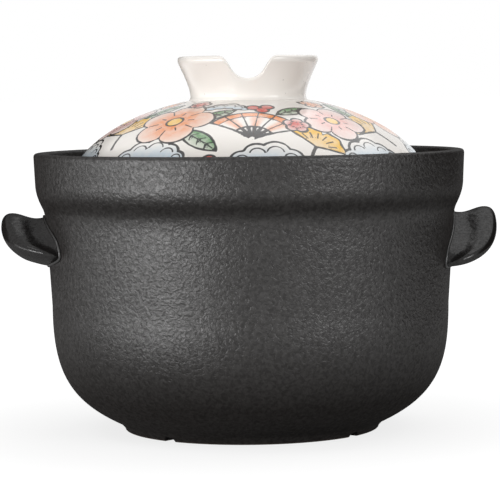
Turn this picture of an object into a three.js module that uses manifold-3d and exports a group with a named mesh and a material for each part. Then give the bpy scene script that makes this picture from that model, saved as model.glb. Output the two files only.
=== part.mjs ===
// A donabe: a lidded clay pot for cooking over a flame.
// Millimetres, +Z up. The origin is the middle of the plane that the foot ring stands on, and the two
// ear handles lie on the X axis. Every round piece is revolved about Z.
import * as THREE from "three";
import { mergeVertices } from "three/addons/utils/BufferGeometryUtils.js";
import Module from "manifold-3d";

const wasm = await Module();
wasm.setup();

// Pot body
const RIM_RADIUS = 112.5; // outside of the collar at the rim
const POT_HEIGHT = 145.6; // table to the crest of the rim
const RIM_THICKNESS = 6.4;
const RIM_EDGE = 2; // rounding of the rim's two edges
const COLLAR_RADIUS = 111.9; // outside, where the collar's flare turns upright
const COLLAR_TURN_HEIGHT = 130;
const NECK_RADIUS = 106.6; // outside, in the crease under the collar
const NECK_HEIGHT = 112;
const CREASE_RISE = 5; // height of the crease's curve above the neck
const CREASE_DROP = 7; // how far below the neck the wall starts to turn outwards
const CREASE_OUT = 1.7; // how far it has come out at its top
const FLARE_OUT = 2.3; // tangent of the flare that goes on from there
const FLARE_UP = 4.5;
const BELLY_RADIUS = 103.9; // outside, where the wall turns into the round bottom
const BELLY_HEIGHT = 66;
const BASE_RADIUS = 70.9; // outside, where the round bottom runs into the foot ring
const BASE_HEIGHT = 5;
const BASE_SLOPE = THREE.MathUtils.degToRad(25.6); // of the bottom beside the foot ring
const BOTTOM_PULL = 30.5; // lengths of the round bottom's two tangents
const BELLY_PULL = 31.8;
const FLOOR_THICKNESS = 7.5;
const INNER_CORNER = 46; // width and height of the round corner between the inside wall and the floor
const INNER_CORNER_FULLNESS = 0.62; // share of that which its tangents take
const INNER_TAPER = 0.7; // of the inside wall from the gallery down to that corner

// Gallery that the lid sits in
const LEDGE_HEIGHT = 121;
const LEDGE_INNER_RADIUS = 97.2;
const LEDGE_OUTER_RADIUS = 104.2;
const LEDGE_EDGE = 1.5; // rounding of the ledge's two corners

// Foot ring
const FOOT_TOP_RADIUS = 69.2;
const FOOT_BOTTOM_RADIUS = 66.8;
const FOOT_INNER_RADIUS = 56;
const FOOT_HEIGHT = 4; // outside, up to the round bottom
const FOOT_RECESS = 4.5; // depth of the hollow inside the ring
const FOOT_EDGE = 1.4; // rounding of the ring's edges
const FOOT_NOTCHES = 4;
const FOOT_NOTCH_WIDTH = 7;
const FOOT_NOTCH_HEIGHT = 2.4;
const FOOT_NOTCH_TURN = THREE.MathUtils.degToRad(3); // of the notches from the pot's diagonals

// Lid
const DOME_RADIUS = 97; // half width and height of the dome's elliptical section
const DOME_HEIGHT = 55;
const DOME_BASE = 120; // height of the ellipse's middle
const LID_THICKNESS = 6;
const BRIM_RADIUS = 102.6;
const BRIM_THICKNESS = 4.6;
const BRIM_EDGE = 2.4; // rounding of the brim's upper edge
const BRIM_FILLET = 3.4; // height of the fillet between brim and dome
const SKIRT_RADIUS = 95.6;
const SKIRT_THICKNESS = 5;
const SKIRT_DEPTH = 8; // below the gallery ledge
const LID_TURN = THREE.MathUtils.degToRad(-3); // how the lid happens to sit in the gallery
const VENT_RADIUS = 2.6;
const VENT_DISTANCE = 58; // from the lid's axis

// Lid knob
const KNOB_BASE_RADIUS = 30.2;
const KNOB_TOP_RADIUS = 36.9;
const KNOB_TOP = 195;
const KNOB_FLARE_HEIGHT = 191.8; // where the flare rounds over into the top
const KNOB_WALL = 6.2;
const KNOB_FILLET = 1.3; // glaze gathered round the knob's foot
const KNOB_FLARE_OUT = 3.2; // tangent of the flare at the top
const KNOB_FLARE_UP = 7;
const KNOB_STEM_UP = 4.5; // tangent of the flare at the foot
const KNOB_EDGE = 2.4; // rounding of the top's two edges
const NOTCH_FLOOR = 183.4; // height of the bottom of the two notches
const NOTCH_ARC_RADIUS = 10;
const NOTCH_FLANK = THREE.MathUtils.degToRad(30); // lean of the notch's sides from upright
const NOTCH_LIP_RADIUS = 3.2; // rounding of the notch's upper corners

// Ear handles
const EAR_HALF_ANGLE = THREE.MathUtils.degToRad(21.4); // of the root, seen from above
const EAR_ROOT_RADIUS = 106.2;
const EAR_REACH = 21.8; // how far the lip stands out from the root
const EAR_TOP = 112.6;
const EAR_BOTTOM = 86.8;
const EAR_LEAN = 0.09; // rise of the whole ear per length along its root
const EAR_SHOULDER_DROP = 16.4; // drop of the top from the middle towards each end of the root
const EAR_PEAK = 0.12; // share of the root's half length over which that drop starts
const EAR_END_LIFT = 2; // how much higher the underside is at the ends
const EAR_TIP = 0.2; // share of the ear's height at which its ends close
const EAR_END_ROUNDING = 14; // the higher this power, the shorter the rounding of the two ends
const EAR_DISH = 1.8; // hollow of the top
const DISH_PLACE = 0.35; // share of the reach at which that hollow pulls the top down
const EAR_LIP_RISE = 2; // how far the lip stands above the root
const EAR_LIP_DROP = 12; // how much more than the root the lip drops towards the ends
const LIP_FLAT = 0.5; // share of the reach from which the top runs level to the lip
const LIP_PLACE = 0.76; // share of the reach at which the lip is highest
const NOSE_DROP = 0.27; // shares of the outer face's height from the lip down to the furthest point,
const NOSE_PULL = 0.31; // and from there along the upright tangent
const UNDERSIDE_PULL = 0.5; // share of the reach that the underside's level tangent takes
const ROOT_BEAD = 1; // bead of slip round the root
const ROOT_BEAD_DEPTH = 1.8; // how far the bead stands out from the wall
const FINGER_HOLLOW = new THREE.Vector3(5.2, 22, 10); // half sizes of the hollow underneath
const FINGER_HOLLOW_RADIUS = 112.4;
const FINGER_HOLLOW_HEIGHT = 86;

// Making
const SLIP_GAP = 0.3; // between pieces that touch
const SEGMENTS = 56; // round the pot and the lid
const KNOB_SEGMENTS = 40;
const CURVE_STEP = 9; // length of the chords along a curved stretch of a profile
const FEWEST_STEPS = 2;
const EAR_SECTIONS = 20;
const EAR_LAST_SECTION = 0.998; // place along the root of the small flat that closes each end
const EAR_CURVE_STEPS = 5;
const EAR_WALL_STEPS = 4;
const NOTCH_STEPS = 8;
const CUT_MARGIN = 3; // how far a cutter runs past what it cuts

const BLACK_STONEWARE = { color: 0x3a3837, roughness: 0.62, metalness: 0 };
const BLACK_GLAZE = { color: 0x2a2929, roughness: 0.35, metalness: 0 };
const WHITE_GLAZE = { color: 0xf1ece2, roughness: 0.16, metalness: 0 };

// Turns a closed geometry into a solid that can be cut: corners merged, flat triangles at the poles left out.
function toSolid(geometry) {
  const bare = geometry.clone();
  bare.deleteAttribute("normal");
  bare.deleteAttribute("uv");
  const merged = mergeVertices(bare, 1e-4);
  const corners = merged.index.array;
  const kept = [];
  for (let i = 0; i < corners.length; i += 3) {
    const [a, b, c] = corners.slice(i, i + 3);
    if (a !== b && b !== c && c !== a) kept.push(a, b, c);
  }
  const vertProperties = new Float32Array(merged.attributes.position.array);
  return new wasm.Manifold(new wasm.Mesh({ numProp: 3, vertProperties, triVerts: new Uint32Array(kept) }));
}

function toGeometry(solid) {
  const mesh = solid.getMesh();
  const geometry = new THREE.BufferGeometry();
  geometry.setAttribute("position", new THREE.BufferAttribute(mesh.vertProperties, 3));
  geometry.setIndex(new THREE.BufferAttribute(mesh.triVerts, 1));
  geometry.computeVertexNormals();
  return geometry;
}

// Takes every cutter away from a geometry.
function cut(geometry, cutters) {
  const solid = cutters.reduce((left, cutter) => left.subtract(toSolid(cutter)), toSolid(geometry));
  return toGeometry(solid);
}

// Points along a profile: the ends of its straight stretches, and chords of its curves.
function profilePoints(profile) {
  const points = profile.curves.flatMap((curve) => {
    const steps = curve.isLineCurve ? 1 : Math.max(FEWEST_STEPS, Math.round(curve.getLength() / CURVE_STEP));
    return curve.getPoints(steps);
  });
  return points.filter((p, i) => i === 0 || p.distanceTo(points[i - 1]) > 1e-6);
}

// Revolves a profile of radius and height about Z.
function revolve(profile, segments) {
  return new THREE.LatheGeometry(profilePoints(profile), segments).rotateX(Math.PI / 2);
}

function namedMesh(name, geometry, finish) {
  const mesh = new THREE.Mesh(geometry, new THREE.MeshStandardMaterial(finish));
  mesh.name = name;
  return mesh;
}

// Outside of the pot from the foot ring to the rim: round bottom, almost upright wall, neck and collar.
function traceOutside(path) {
  path.lineTo(BASE_RADIUS, BASE_HEIGHT);
  path.bezierCurveTo(
    BASE_RADIUS + BOTTOM_PULL * Math.cos(BASE_SLOPE), BASE_HEIGHT + BOTTOM_PULL * Math.sin(BASE_SLOPE),
    BELLY_RADIUS, BELLY_HEIGHT - BELLY_PULL,
    BELLY_RADIUS, BELLY_HEIGHT,
  );
  const turnHeight = NECK_HEIGHT - CREASE_DROP;
  path.lineTo(
    THREE.MathUtils.mapLinear(turnHeight, BELLY_HEIGHT, NECK_HEIGHT, BELLY_RADIUS, NECK_RADIUS),
    turnHeight,
  );
  const creaseRadius = NECK_RADIUS + CREASE_OUT;
  const creaseHeight = NECK_HEIGHT + CREASE_RISE;
  path.bezierCurveTo(
    NECK_RADIUS, NECK_HEIGHT,
    creaseRadius - FLARE_OUT / 3, creaseHeight - FLARE_UP / 3,
    creaseRadius, creaseHeight,
  );
  path.bezierCurveTo(
    creaseRadius + FLARE_OUT, creaseHeight + FLARE_UP,
    COLLAR_RADIUS, COLLAR_TURN_HEIGHT - FLARE_UP,
    COLLAR_RADIUS, COLLAR_TURN_HEIGHT,
  );
  path.lineTo(RIM_RADIUS, POT_HEIGHT - RIM_EDGE);
}

// Radius of the pot's outside at a height, which the roots of the handles follow.
const wallPath = new THREE.Path();
wallPath.moveTo(FOOT_TOP_RADIUS, FOOT_HEIGHT);
traceOutside(wallPath);
const wallPoints = profilePoints(wallPath);

function wallRadius(height) {
  const above = wallPoints.findIndex((p) => p.y > height);
  const low = wallPoints[above - 1];
  const high = wallPoints[above];
  return THREE.MathUtils.mapLinear(height, low.y, high.y, low.x, high.x);
}

// The pot is one revolved shell. The profile starts under the floor, goes round the foot ring, up the
// outside, over the rim, down the gallery and the inside, and ends on top of the floor.
function potBody() {
  const floorTop = FOOT_RECESS + FLOOR_THICKNESS;
  const innerWall = LEDGE_INNER_RADIUS - INNER_TAPER;
  const cornerPull = INNER_CORNER * INNER_CORNER_FULLNESS;
  const rimInside = RIM_RADIUS - RIM_THICKNESS;
  const profile = new THREE.Path();
  profile.moveTo(0, FOOT_RECESS);
  profile.lineTo(FOOT_INNER_RADIUS - FOOT_EDGE, FOOT_RECESS);
  profile.lineTo(FOOT_INNER_RADIUS + FOOT_EDGE, FOOT_EDGE);
  profile.lineTo(FOOT_INNER_RADIUS + 2 * FOOT_EDGE, 0);
  profile.lineTo(FOOT_BOTTOM_RADIUS - FOOT_EDGE, 0);
  profile.quadraticCurveTo(FOOT_BOTTOM_RADIUS, 0, FOOT_BOTTOM_RADIUS, FOOT_EDGE);
  profile.lineTo(FOOT_TOP_RADIUS, FOOT_HEIGHT);
  traceOutside(profile);
  profile.quadraticCurveTo(RIM_RADIUS, POT_HEIGHT, RIM_RADIUS - RIM_EDGE, POT_HEIGHT);
  profile.lineTo(rimInside + RIM_EDGE, POT_HEIGHT);
  profile.quadraticCurveTo(rimInside, POT_HEIGHT, rimInside, POT_HEIGHT - RIM_EDGE);
  profile.lineTo(LEDGE_OUTER_RADIUS, LEDGE_HEIGHT + LEDGE_EDGE);
  profile.quadraticCurveTo(LEDGE_OUTER_RADIUS, LEDGE_HEIGHT, LEDGE_OUTER_RADIUS - LEDGE_EDGE, LEDGE_HEIGHT);
  profile.lineTo(LEDGE_INNER_RADIUS + LEDGE_EDGE, LEDGE_HEIGHT);
  profile.quadraticCurveTo(LEDGE_INNER_RADIUS, LEDGE_HEIGHT, LEDGE_INNER_RADIUS, LEDGE_HEIGHT - LEDGE_EDGE);
  profile.lineTo(innerWall, floorTop + INNER_CORNER);
  profile.bezierCurveTo(
    innerWall, floorTop + INNER_CORNER - cornerPull,
    innerWall - INNER_CORNER + cornerPull, floorTop,
    innerWall - INNER_CORNER, floorTop,
  );
  profile.lineTo(0, floorTop);
  return cut(revolve(profile, SEGMENTS), footNotches());
}

// Arched air notches, cut outwards through the foot ring between the handles.
function footNotches() {
  const arch = new THREE.Shape();
  arch.moveTo(-FOOT_NOTCH_WIDTH / 2, -CUT_MARGIN);
  arch.lineTo(FOOT_NOTCH_WIDTH / 2, -CUT_MARGIN);
  arch.lineTo(FOOT_NOTCH_WIDTH / 2, 0);
  arch.absellipse(0, 0, FOOT_NOTCH_WIDTH / 2, FOOT_NOTCH_HEIGHT, 0, Math.PI, false);
  const inside = FOOT_INNER_RADIUS - 2 * FOOT_EDGE;
  const depth = FOOT_TOP_RADIUS - inside + CUT_MARGIN;
  return Array.from({ length: FOOT_NOTCHES }, (_, k) => {
    const notch = new THREE.ExtrudeGeometry(arch, { depth, bevelEnabled: false, curveSegments: NOTCH_STEPS });
    notch.rotateX(Math.PI / 2);
    notch.translate(0, -inside, 0);
    return notch.rotateZ(((k + 0.5) * 2 * Math.PI) / FOOT_NOTCHES + FOOT_NOTCH_TURN);
  });
}

// Section of an ear handle at a place along its root, from -1 at one end to 1 at the other, as points of
// reach and height: a dished top, a rolled lip, and an outer face that rounds down and back to the wall.
function earSection(along) {
  const place = Math.abs(along);
  const ends = Math.sqrt(1 - place ** EAR_END_ROUNDING);
  const swell = Math.sqrt(1 - along ** 2);
  const reach = EAR_REACH * swell + ROOT_BEAD_DEPTH;
  const rise = EAR_LEAN * EAR_ROOT_RADIUS * Math.sin(along * EAR_HALF_ANGLE);
  const shoulder = Math.hypot(along, EAR_PEAK) - EAR_PEAK;
  const crown = EAR_TOP - EAR_SHOULDER_DROP * shoulder + rise;
  const base = EAR_BOTTOM + EAR_END_LIFT * along ** 2 + rise;
  const top = THREE.MathUtils.lerp(base, crown, THREE.MathUtils.lerp(EAR_TIP, 1, ends));
  const bottom = THREE.MathUtils.lerp(base, crown, EAR_TIP * (1 - ends));
  const lip = top + (EAR_LIP_RISE - EAR_LIP_DROP * shoulder) * swell;
  const height = lip - bottom;
  const nose = lip - NOSE_DROP * height;
  const dish = EAR_DISH * (0.5 + place) * swell;
  const path = new THREE.Path();
  path.moveTo(0, top + ROOT_BEAD);
  path.lineTo(ROOT_BEAD, top + ROOT_BEAD);
  path.lineTo(ROOT_BEAD_DEPTH, top);
  path.bezierCurveTo(
    reach * DISH_PLACE, top - 3 * dish,
    reach * LIP_FLAT, lip,
    reach * LIP_PLACE, lip,
  );
  path.quadraticCurveTo(reach, lip, reach, nose);
  path.bezierCurveTo(
    reach, nose - NOSE_PULL * height,
    reach * UNDERSIDE_PULL, bottom,
    ROOT_BEAD_DEPTH, bottom,
  );
  path.lineTo(ROOT_BEAD, bottom - ROOT_BEAD);
  path.lineTo(0, bottom - ROOT_BEAD);
  return path.getPoints(EAR_CURVE_STEPS);
}

// One closed ring of an ear handle: the section out from the wall, then back up along the wall.
function earRing(along) {
  const angle = along * EAR_HALF_ANGLE;
  const section = earSection(along);
  const top = section[0].y;
  const bottom = section[section.length - 1].y;
  const outer = section.map(({ x, y }) => {
    const onWall = wallRadius(y) + SLIP_GAP;
    return [x > ROOT_BEAD_DEPTH ? Math.max(EAR_ROOT_RADIUS + x, onWall) : onWall + x, y];
  });
  const inner = Array.from({ length: EAR_WALL_STEPS - 1 }, (_, k) => {
    const height = THREE.MathUtils.lerp(bottom, top, (k + 1) / EAR_WALL_STEPS);
    return [wallRadius(height) + SLIP_GAP, height];
  });
  return [...outer, ...inner].map(([r, z]) => new THREE.Vector3(r * Math.cos(angle), r * Math.sin(angle), z));
}

// Joins rings of equal length into a closed skin, with a fan of triangles on each end.
function loft(rings) {
  const count = rings[0].length;
  const middles = [rings[0], rings[rings.length - 1]].map((ring) =>
    ring.reduce((sum, p) => sum.add(p), new THREE.Vector3()).divideScalar(count));
  const points = [...rings.flat(), ...middles];
  const first = rings.length * count;
  const last = (rings.length - 1) * count;
  const index = [];
  for (let i = 0; i < count; i += 1) {
    const next = (i + 1) % count;
    for (let k = 0; k < last; k += count) {
      index.push(k + i, k + next, k + count + i, k + next, k + count + next, k + count + i);
    }
    index.push(first, next, i, first + 1, last + i, last + next);
  }
  const geometry = new THREE.BufferGeometry().setFromPoints(points);
  geometry.setIndex(index);
  return geometry;
}

// An ear handle on the +X side: sections lofted along its root, closer together near the ends, and a
// hollow underneath for the fingertips.
function earHandle() {
  const rings = Array.from({ length: EAR_SECTIONS + 1 }, (_, k) =>
    earRing(EAR_LAST_SECTION * Math.sin((k / EAR_SECTIONS - 0.5) * Math.PI)));
  const hollow = new THREE.SphereGeometry(1, 24, 12).scale(...FINGER_HOLLOW.toArray());
  hollow.applyMatrix4(new THREE.Matrix4().makeShear(0, 0, 0, EAR_LEAN, 0, 0));
  hollow.translate(FINGER_HOLLOW_RADIUS, 0, FINGER_HOLLOW_HEIGHT);
  return cut(loft(rings), [hollow]);
}

// Height of the dome's outside at a distance from the axis.
function domeHeight(radius) {
  return DOME_BASE + DOME_HEIGHT * Math.sqrt(1 - (radius / DOME_RADIUS) ** 2);
}

// The lid is one revolved shell: an elliptical dome, a brim that sits on the gallery ledge, and a skirt
// below it that keeps the lid in the middle.
function lid() {
  const seat = LEDGE_HEIGHT + SLIP_GAP;
  const brimTop = seat + BRIM_THICKNESS;
  const skirtBottom = LEDGE_HEIGHT - SKIRT_DEPTH;
  const skirtInside = SKIRT_RADIUS - SKIRT_THICKNESS;
  const skirtRound = SKIRT_THICKNESS / 2;
  const domeStart = Math.asin((brimTop + BRIM_FILLET - DOME_BASE) / DOME_HEIGHT);
  const profile = new THREE.Path();
  profile.moveTo(0, DOME_BASE + DOME_HEIGHT - LID_THICKNESS);
  profile.absellipse(0, DOME_BASE, skirtInside, DOME_HEIGHT - LID_THICKNESS, Math.PI / 2, 0, true);
  profile.lineTo(skirtInside, skirtBottom + skirtRound);
  profile.absarc(skirtInside + skirtRound, skirtBottom + skirtRound, skirtRound, Math.PI, 2 * Math.PI, false);
  profile.lineTo(SKIRT_RADIUS, seat);
  profile.lineTo(BRIM_RADIUS - BRIM_EDGE / 2, seat);
  profile.quadraticCurveTo(BRIM_RADIUS, seat, BRIM_RADIUS, seat + BRIM_THICKNESS / 2);
  profile.quadraticCurveTo(BRIM_RADIUS, brimTop, BRIM_RADIUS - BRIM_EDGE, brimTop);
  profile.quadraticCurveTo(
    DOME_RADIUS, brimTop,
    DOME_RADIUS * Math.cos(domeStart), DOME_BASE + DOME_HEIGHT * Math.sin(domeStart),
  );
  profile.absellipse(0, DOME_BASE, DOME_RADIUS, DOME_HEIGHT, domeStart, Math.PI / 2, false);
  const ventLength = 6 * LID_THICKNESS;
  const vent = new THREE.CylinderGeometry(VENT_RADIUS, VENT_RADIUS, ventLength, 16).rotateX(Math.PI / 2);
  vent.translate(0, VENT_DISTANCE, domeHeight(VENT_DISTANCE));
  return cut(revolve(profile, SEGMENTS), [vent]);
}

// The knob is a flared ring with its foot on the dome, cut through by a notch from front to back.
function lidKnob() {
  const inner = KNOB_BASE_RADIUS - KNOB_WALL;
  const topInner = KNOB_TOP_RADIUS - KNOB_WALL;
  const foot = (radius) => domeHeight(radius) + SLIP_GAP;
  const stem = foot(KNOB_BASE_RADIUS) + KNOB_FILLET;
  const profile = new THREE.Path();
  profile.moveTo(inner, foot(inner));
  profile.lineTo(KNOB_BASE_RADIUS, foot(KNOB_BASE_RADIUS));
  profile.lineTo(KNOB_BASE_RADIUS + KNOB_FILLET, foot(KNOB_BASE_RADIUS + KNOB_FILLET));
  profile.quadraticCurveTo(KNOB_BASE_RADIUS, foot(KNOB_BASE_RADIUS), KNOB_BASE_RADIUS, stem);
  profile.bezierCurveTo(
    KNOB_BASE_RADIUS, stem + KNOB_STEM_UP,
    KNOB_TOP_RADIUS - KNOB_FLARE_OUT, KNOB_FLARE_HEIGHT - KNOB_FLARE_UP,
    KNOB_TOP_RADIUS, KNOB_FLARE_HEIGHT,
  );
  profile.quadraticCurveTo(KNOB_TOP_RADIUS, KNOB_TOP, KNOB_TOP_RADIUS - KNOB_EDGE, KNOB_TOP);
  profile.lineTo(topInner + KNOB_EDGE, KNOB_TOP);
  profile.quadraticCurveTo(topInner, KNOB_TOP, topInner, KNOB_FLARE_HEIGHT);
  profile.bezierCurveTo(
    topInner - KNOB_FLARE_OUT, KNOB_FLARE_HEIGHT - KNOB_FLARE_UP,
    inner, stem + KNOB_STEM_UP,
    inner, stem,
  );
  profile.lineTo(inner, foot(inner));
  return cut(revolve(profile, KNOB_SEGMENTS), [knobNotch()]);
}

// The notch is a round-bottomed V whose upper corners roll outwards, carried along Y through both walls.
function knobNotch() {
  const lean = NOTCH_FLANK;
  const arcMiddle = NOTCH_FLOOR + NOTCH_ARC_RADIUS;
  const lipMiddleHeight = KNOB_TOP - NOTCH_LIP_RADIUS;
  // The lip's circle touches the straight flank that leaves the bottom arc.
  const rise = lipMiddleHeight - arcMiddle;
  const lipMiddle = (NOTCH_ARC_RADIUS + NOTCH_LIP_RADIUS + rise * Math.sin(lean)) / Math.cos(lean);
  const above = KNOB_TOP + CUT_MARGIN;
  const outline = new THREE.Shape();
  outline.moveTo(-lipMiddle, above);
  outline.absarc(-lipMiddle, lipMiddleHeight, NOTCH_LIP_RADIUS, Math.PI / 2, lean, true);
  outline.absarc(0, arcMiddle, NOTCH_ARC_RADIUS, Math.PI + lean, 2 * Math.PI - lean, false);
  outline.absarc(lipMiddle, lipMiddleHeight, NOTCH_LIP_RADIUS, Math.PI - lean, Math.PI / 2, true);
  outline.lineTo(lipMiddle, above);
  const depth = 2 * (KNOB_TOP_RADIUS + CUT_MARGIN);
  const settings = { depth, bevelEnabled: false, curveSegments: NOTCH_STEPS };
  const notch = new THREE.ExtrudeGeometry(outline, settings);
  return notch.rotateX(Math.PI / 2).translate(0, depth / 2, 0);
}

const rightHandle = namedMesh("right_handle", earHandle(), BLACK_GLAZE);
const leftHandle = namedMesh("left_handle", earHandle(), BLACK_GLAZE);
leftHandle.rotation.z = Math.PI;

const lidGroup = new THREE.Group();
lidGroup.rotation.z = LID_TURN;
lidGroup.add(namedMesh("lid", lid(), WHITE_GLAZE));
lidGroup.add(namedMesh("lid_knob", lidKnob(), WHITE_GLAZE));

const donabe = new THREE.Group();
donabe.add(namedMesh("pot_body", potBody(), BLACK_STONEWARE));
donabe.add(leftHandle, rightHandle, lidGroup);

export default donabe;
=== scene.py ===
"""A donabe, a lidded clay pot for cooking over a flame, built as glazed surfaces over its packed CAD frame.

Metres, +Z up. The foot ring stands on the floor at Z 0, and the two ear handles lie on the X axis.
"""

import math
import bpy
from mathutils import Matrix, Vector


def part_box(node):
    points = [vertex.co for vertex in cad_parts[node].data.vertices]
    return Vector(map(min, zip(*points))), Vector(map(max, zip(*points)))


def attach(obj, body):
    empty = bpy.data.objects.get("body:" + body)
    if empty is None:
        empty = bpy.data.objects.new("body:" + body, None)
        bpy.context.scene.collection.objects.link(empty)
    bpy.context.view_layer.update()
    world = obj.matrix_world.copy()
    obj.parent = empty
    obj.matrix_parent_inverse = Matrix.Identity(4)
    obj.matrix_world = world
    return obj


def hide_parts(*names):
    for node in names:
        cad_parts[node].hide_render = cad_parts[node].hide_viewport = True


bl_info = {
    "name": "Donabe clay pot",
    "version": (1, 0, 0),
    "blender": (4, 5, 0),
    "location": "View3D > Sidebar > Donabe",
    "description": "Builds a donabe's pot, ear handles, printed lid and knob, and the stage that shows them",
    "category": "Add Mesh",
}

import bpy
import numpy as np
from mathutils import Matrix, Vector

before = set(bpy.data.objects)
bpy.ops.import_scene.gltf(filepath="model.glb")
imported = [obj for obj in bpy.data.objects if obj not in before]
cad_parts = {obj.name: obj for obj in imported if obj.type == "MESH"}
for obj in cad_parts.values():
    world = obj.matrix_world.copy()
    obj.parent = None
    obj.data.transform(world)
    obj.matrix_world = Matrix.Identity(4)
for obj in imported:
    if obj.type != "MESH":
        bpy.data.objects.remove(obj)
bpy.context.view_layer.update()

POT_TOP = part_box("pot_body")[1]
KNOB_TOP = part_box("lid_knob")[1]
MM = 0.001
HUB = 1 * MM  # radius at which a revolved surface ends and a fan closes its middle
GLAZE_IOR = 1.52

# Steps round or along each piece, fine enough that no outline shows corners.
POT_COLUMNS = 256
EAR_SECTIONS = 97
LID_COLUMNS = 560
KNOB_COLUMNS = 384
VENT_BLOCK = 4  # half size, in grid steps, of the square of quads that the vent takes out
VENT_REACH = 12  # grid steps over which the grid bends round the vent

# Slow waves of the pot's wall: waves round the pot, turn in radians per metre of height, and start.
WALL_WAVES = ((2, 62, 0), (3, -95, 1.3), (7, 140, 0.5))

# The print's layers from the back to the front, and its distances in millimetres.
PRINT_LAYERS = ("back", "middle", "front")
CLEAR_OF_PRINT = 9.0  # further from an edge or a stroke than any ink reaches
STROKE_OVERRUN = 0.3  # how far a stroke may run over the edge of its drawing
STROKE_REACH = 1  # how far beside a stroke its side still counts


def linear(hex_colour):
    """Linear RGB of an sRGB hex colour."""
    srgb = np.array([int(hex_colour[k : k + 2], 16) for k in (1, 3, 5)]) / 255
    return tuple(np.where(srgb <= 0.04045, srgb / 12.92, ((srgb + 0.055) / 1.055) ** 2.4))


def length(name, description, metres):
    """A size that a user can change."""
    return bpy.props.FloatProperty(
        name=name, description=description, default=metres, unit="LENGTH", precision=5
    )


def angle(name, description, degrees):
    """An angle that a user can change."""
    return bpy.props.FloatProperty(
        name=name, description=description, default=math.radians(degrees), unit="ROTATION"
    )


def number(name, description, default):
    """A plain number that a user can change."""
    return bpy.props.FloatProperty(name=name, description=description, default=default)


def share(name, description, default):
    """A ratio that a user can change."""
    return bpy.props.FloatProperty(name=name, description=description, default=default, subtype="FACTOR")


def colour(name, description, hex_colour):
    """A colour that a user can change."""
    return bpy.props.FloatVectorProperty(
        name=name, description=description, default=linear(hex_colour), subtype="COLOR", min=0, max=1
    )


class PotSizes(bpy.types.PropertyGroup):
    """Sizes of the pot body."""

    rim_radius: length("Rim radius", "Outside of the collar at the rim", POT_TOP.y)
    height: length("Height", "Table to the crest of the rim", POT_TOP.z)
    rim_thickness: length("Rim thickness", "Thickness of the wall at the rim", 6.4 * MM)
    rim_edge: length("Rim edge", "Rounding of the rim's two edges", 2 * MM)
    collar_radius: length("Collar radius", "Outside, where the flare turns upright", 111.9 * MM)
    collar_height: length("Collar height", "Height at which the flare turns upright", 130 * MM)
    neck_radius: length("Neck radius", "Outside, in the crease under the collar", 106.6 * MM)
    neck_height: length("Neck height", "Height of the crease under the collar", 112 * MM)
    crease_rise: length("Crease rise", "Height of the crease's curve above the neck", 5 * MM)
    crease_soft: length("Crease softness", "How far below the neck the wall starts to turn outwards", 5 * MM)
    crease_out: length("Crease width", "How far the crease has come out at its top", 1.7 * MM)
    flare_out: length("Flare out", "Outward part of the flare's tangent", 2.3 * MM)
    flare_up: length("Flare up", "Upward part of the flare's tangent", 4.5 * MM)
    belly_radius: length("Belly radius", "Outside, where the wall turns into the round bottom", 103.9 * MM)
    belly_height: length("Belly height", "Height at which the wall turns into the round bottom", 66 * MM)
    belly_pull: length("Belly pull", "Length of the round bottom's upper tangent", 31.8 * MM)
    base_radius: length("Base radius", "Outside, where the round bottom meets the foot ring", 70.9 * MM)
    base_height: length("Base height", "Height at which the round bottom meets the foot ring", 5 * MM)
    base_slope: angle("Base slope", "Slope of the bottom beside the foot ring", 25.6)
    base_pull: length("Base pull", "Length of the round bottom's lower tangent", 30.5 * MM)
    floor_thickness: length("Floor thickness", "Thickness of the clay under the food", 7.5 * MM)
    inner_corner: length("Inner corner", "Size of the round corner inside the bottom", 46 * MM)
    inner_taper: length("Inner taper", "Taper of the inside wall", 0.7 * MM)
    ledge_height: length("Ledge height", "Height of the gallery ledge that carries the lid", 121 * MM)
    ledge_inner: length("Ledge inner radius", "Inner edge of the gallery ledge", 97.2 * MM)
    ledge_outer: length("Ledge outer radius", "Outer edge of the gallery ledge", 104.2 * MM)
    ledge_edge: length("Ledge edge", "Rounding of the ledge's corners", 1.5 * MM)
    foot_top: length("Foot top radius", "Outside of the foot ring at its top", 69.2 * MM)
    foot_bottom: length("Foot bottom radius", "Outside of the foot ring on the table", 66.8 * MM)
    foot_inner: length("Foot inner radius", "Inside of the foot ring", 56 * MM)
    foot_height: length("Foot height", "Height of the foot ring outside", 4 * MM)
    foot_recess: length("Foot recess", "Depth of the hollow inside the foot ring", 4.5 * MM)
    foot_edge: length("Foot edge", "Rounding of the foot ring's edges", 1.4 * MM)
    notches: bpy.props.IntProperty(name="Notches", description="Air notches in the foot ring", default=4)
    notch_width: length("Notch width", "Width of an air notch", 7 * MM)
    notch_height: length("Notch height", "Height of an air notch", 2.4 * MM)
    notch_turn: angle("Notch turn", "Angle of the first air notch from +X", -42)
    unevenness: length("Unevenness", "Depth of the slow waves left by pressing the clay", 0.18 * MM)


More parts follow.
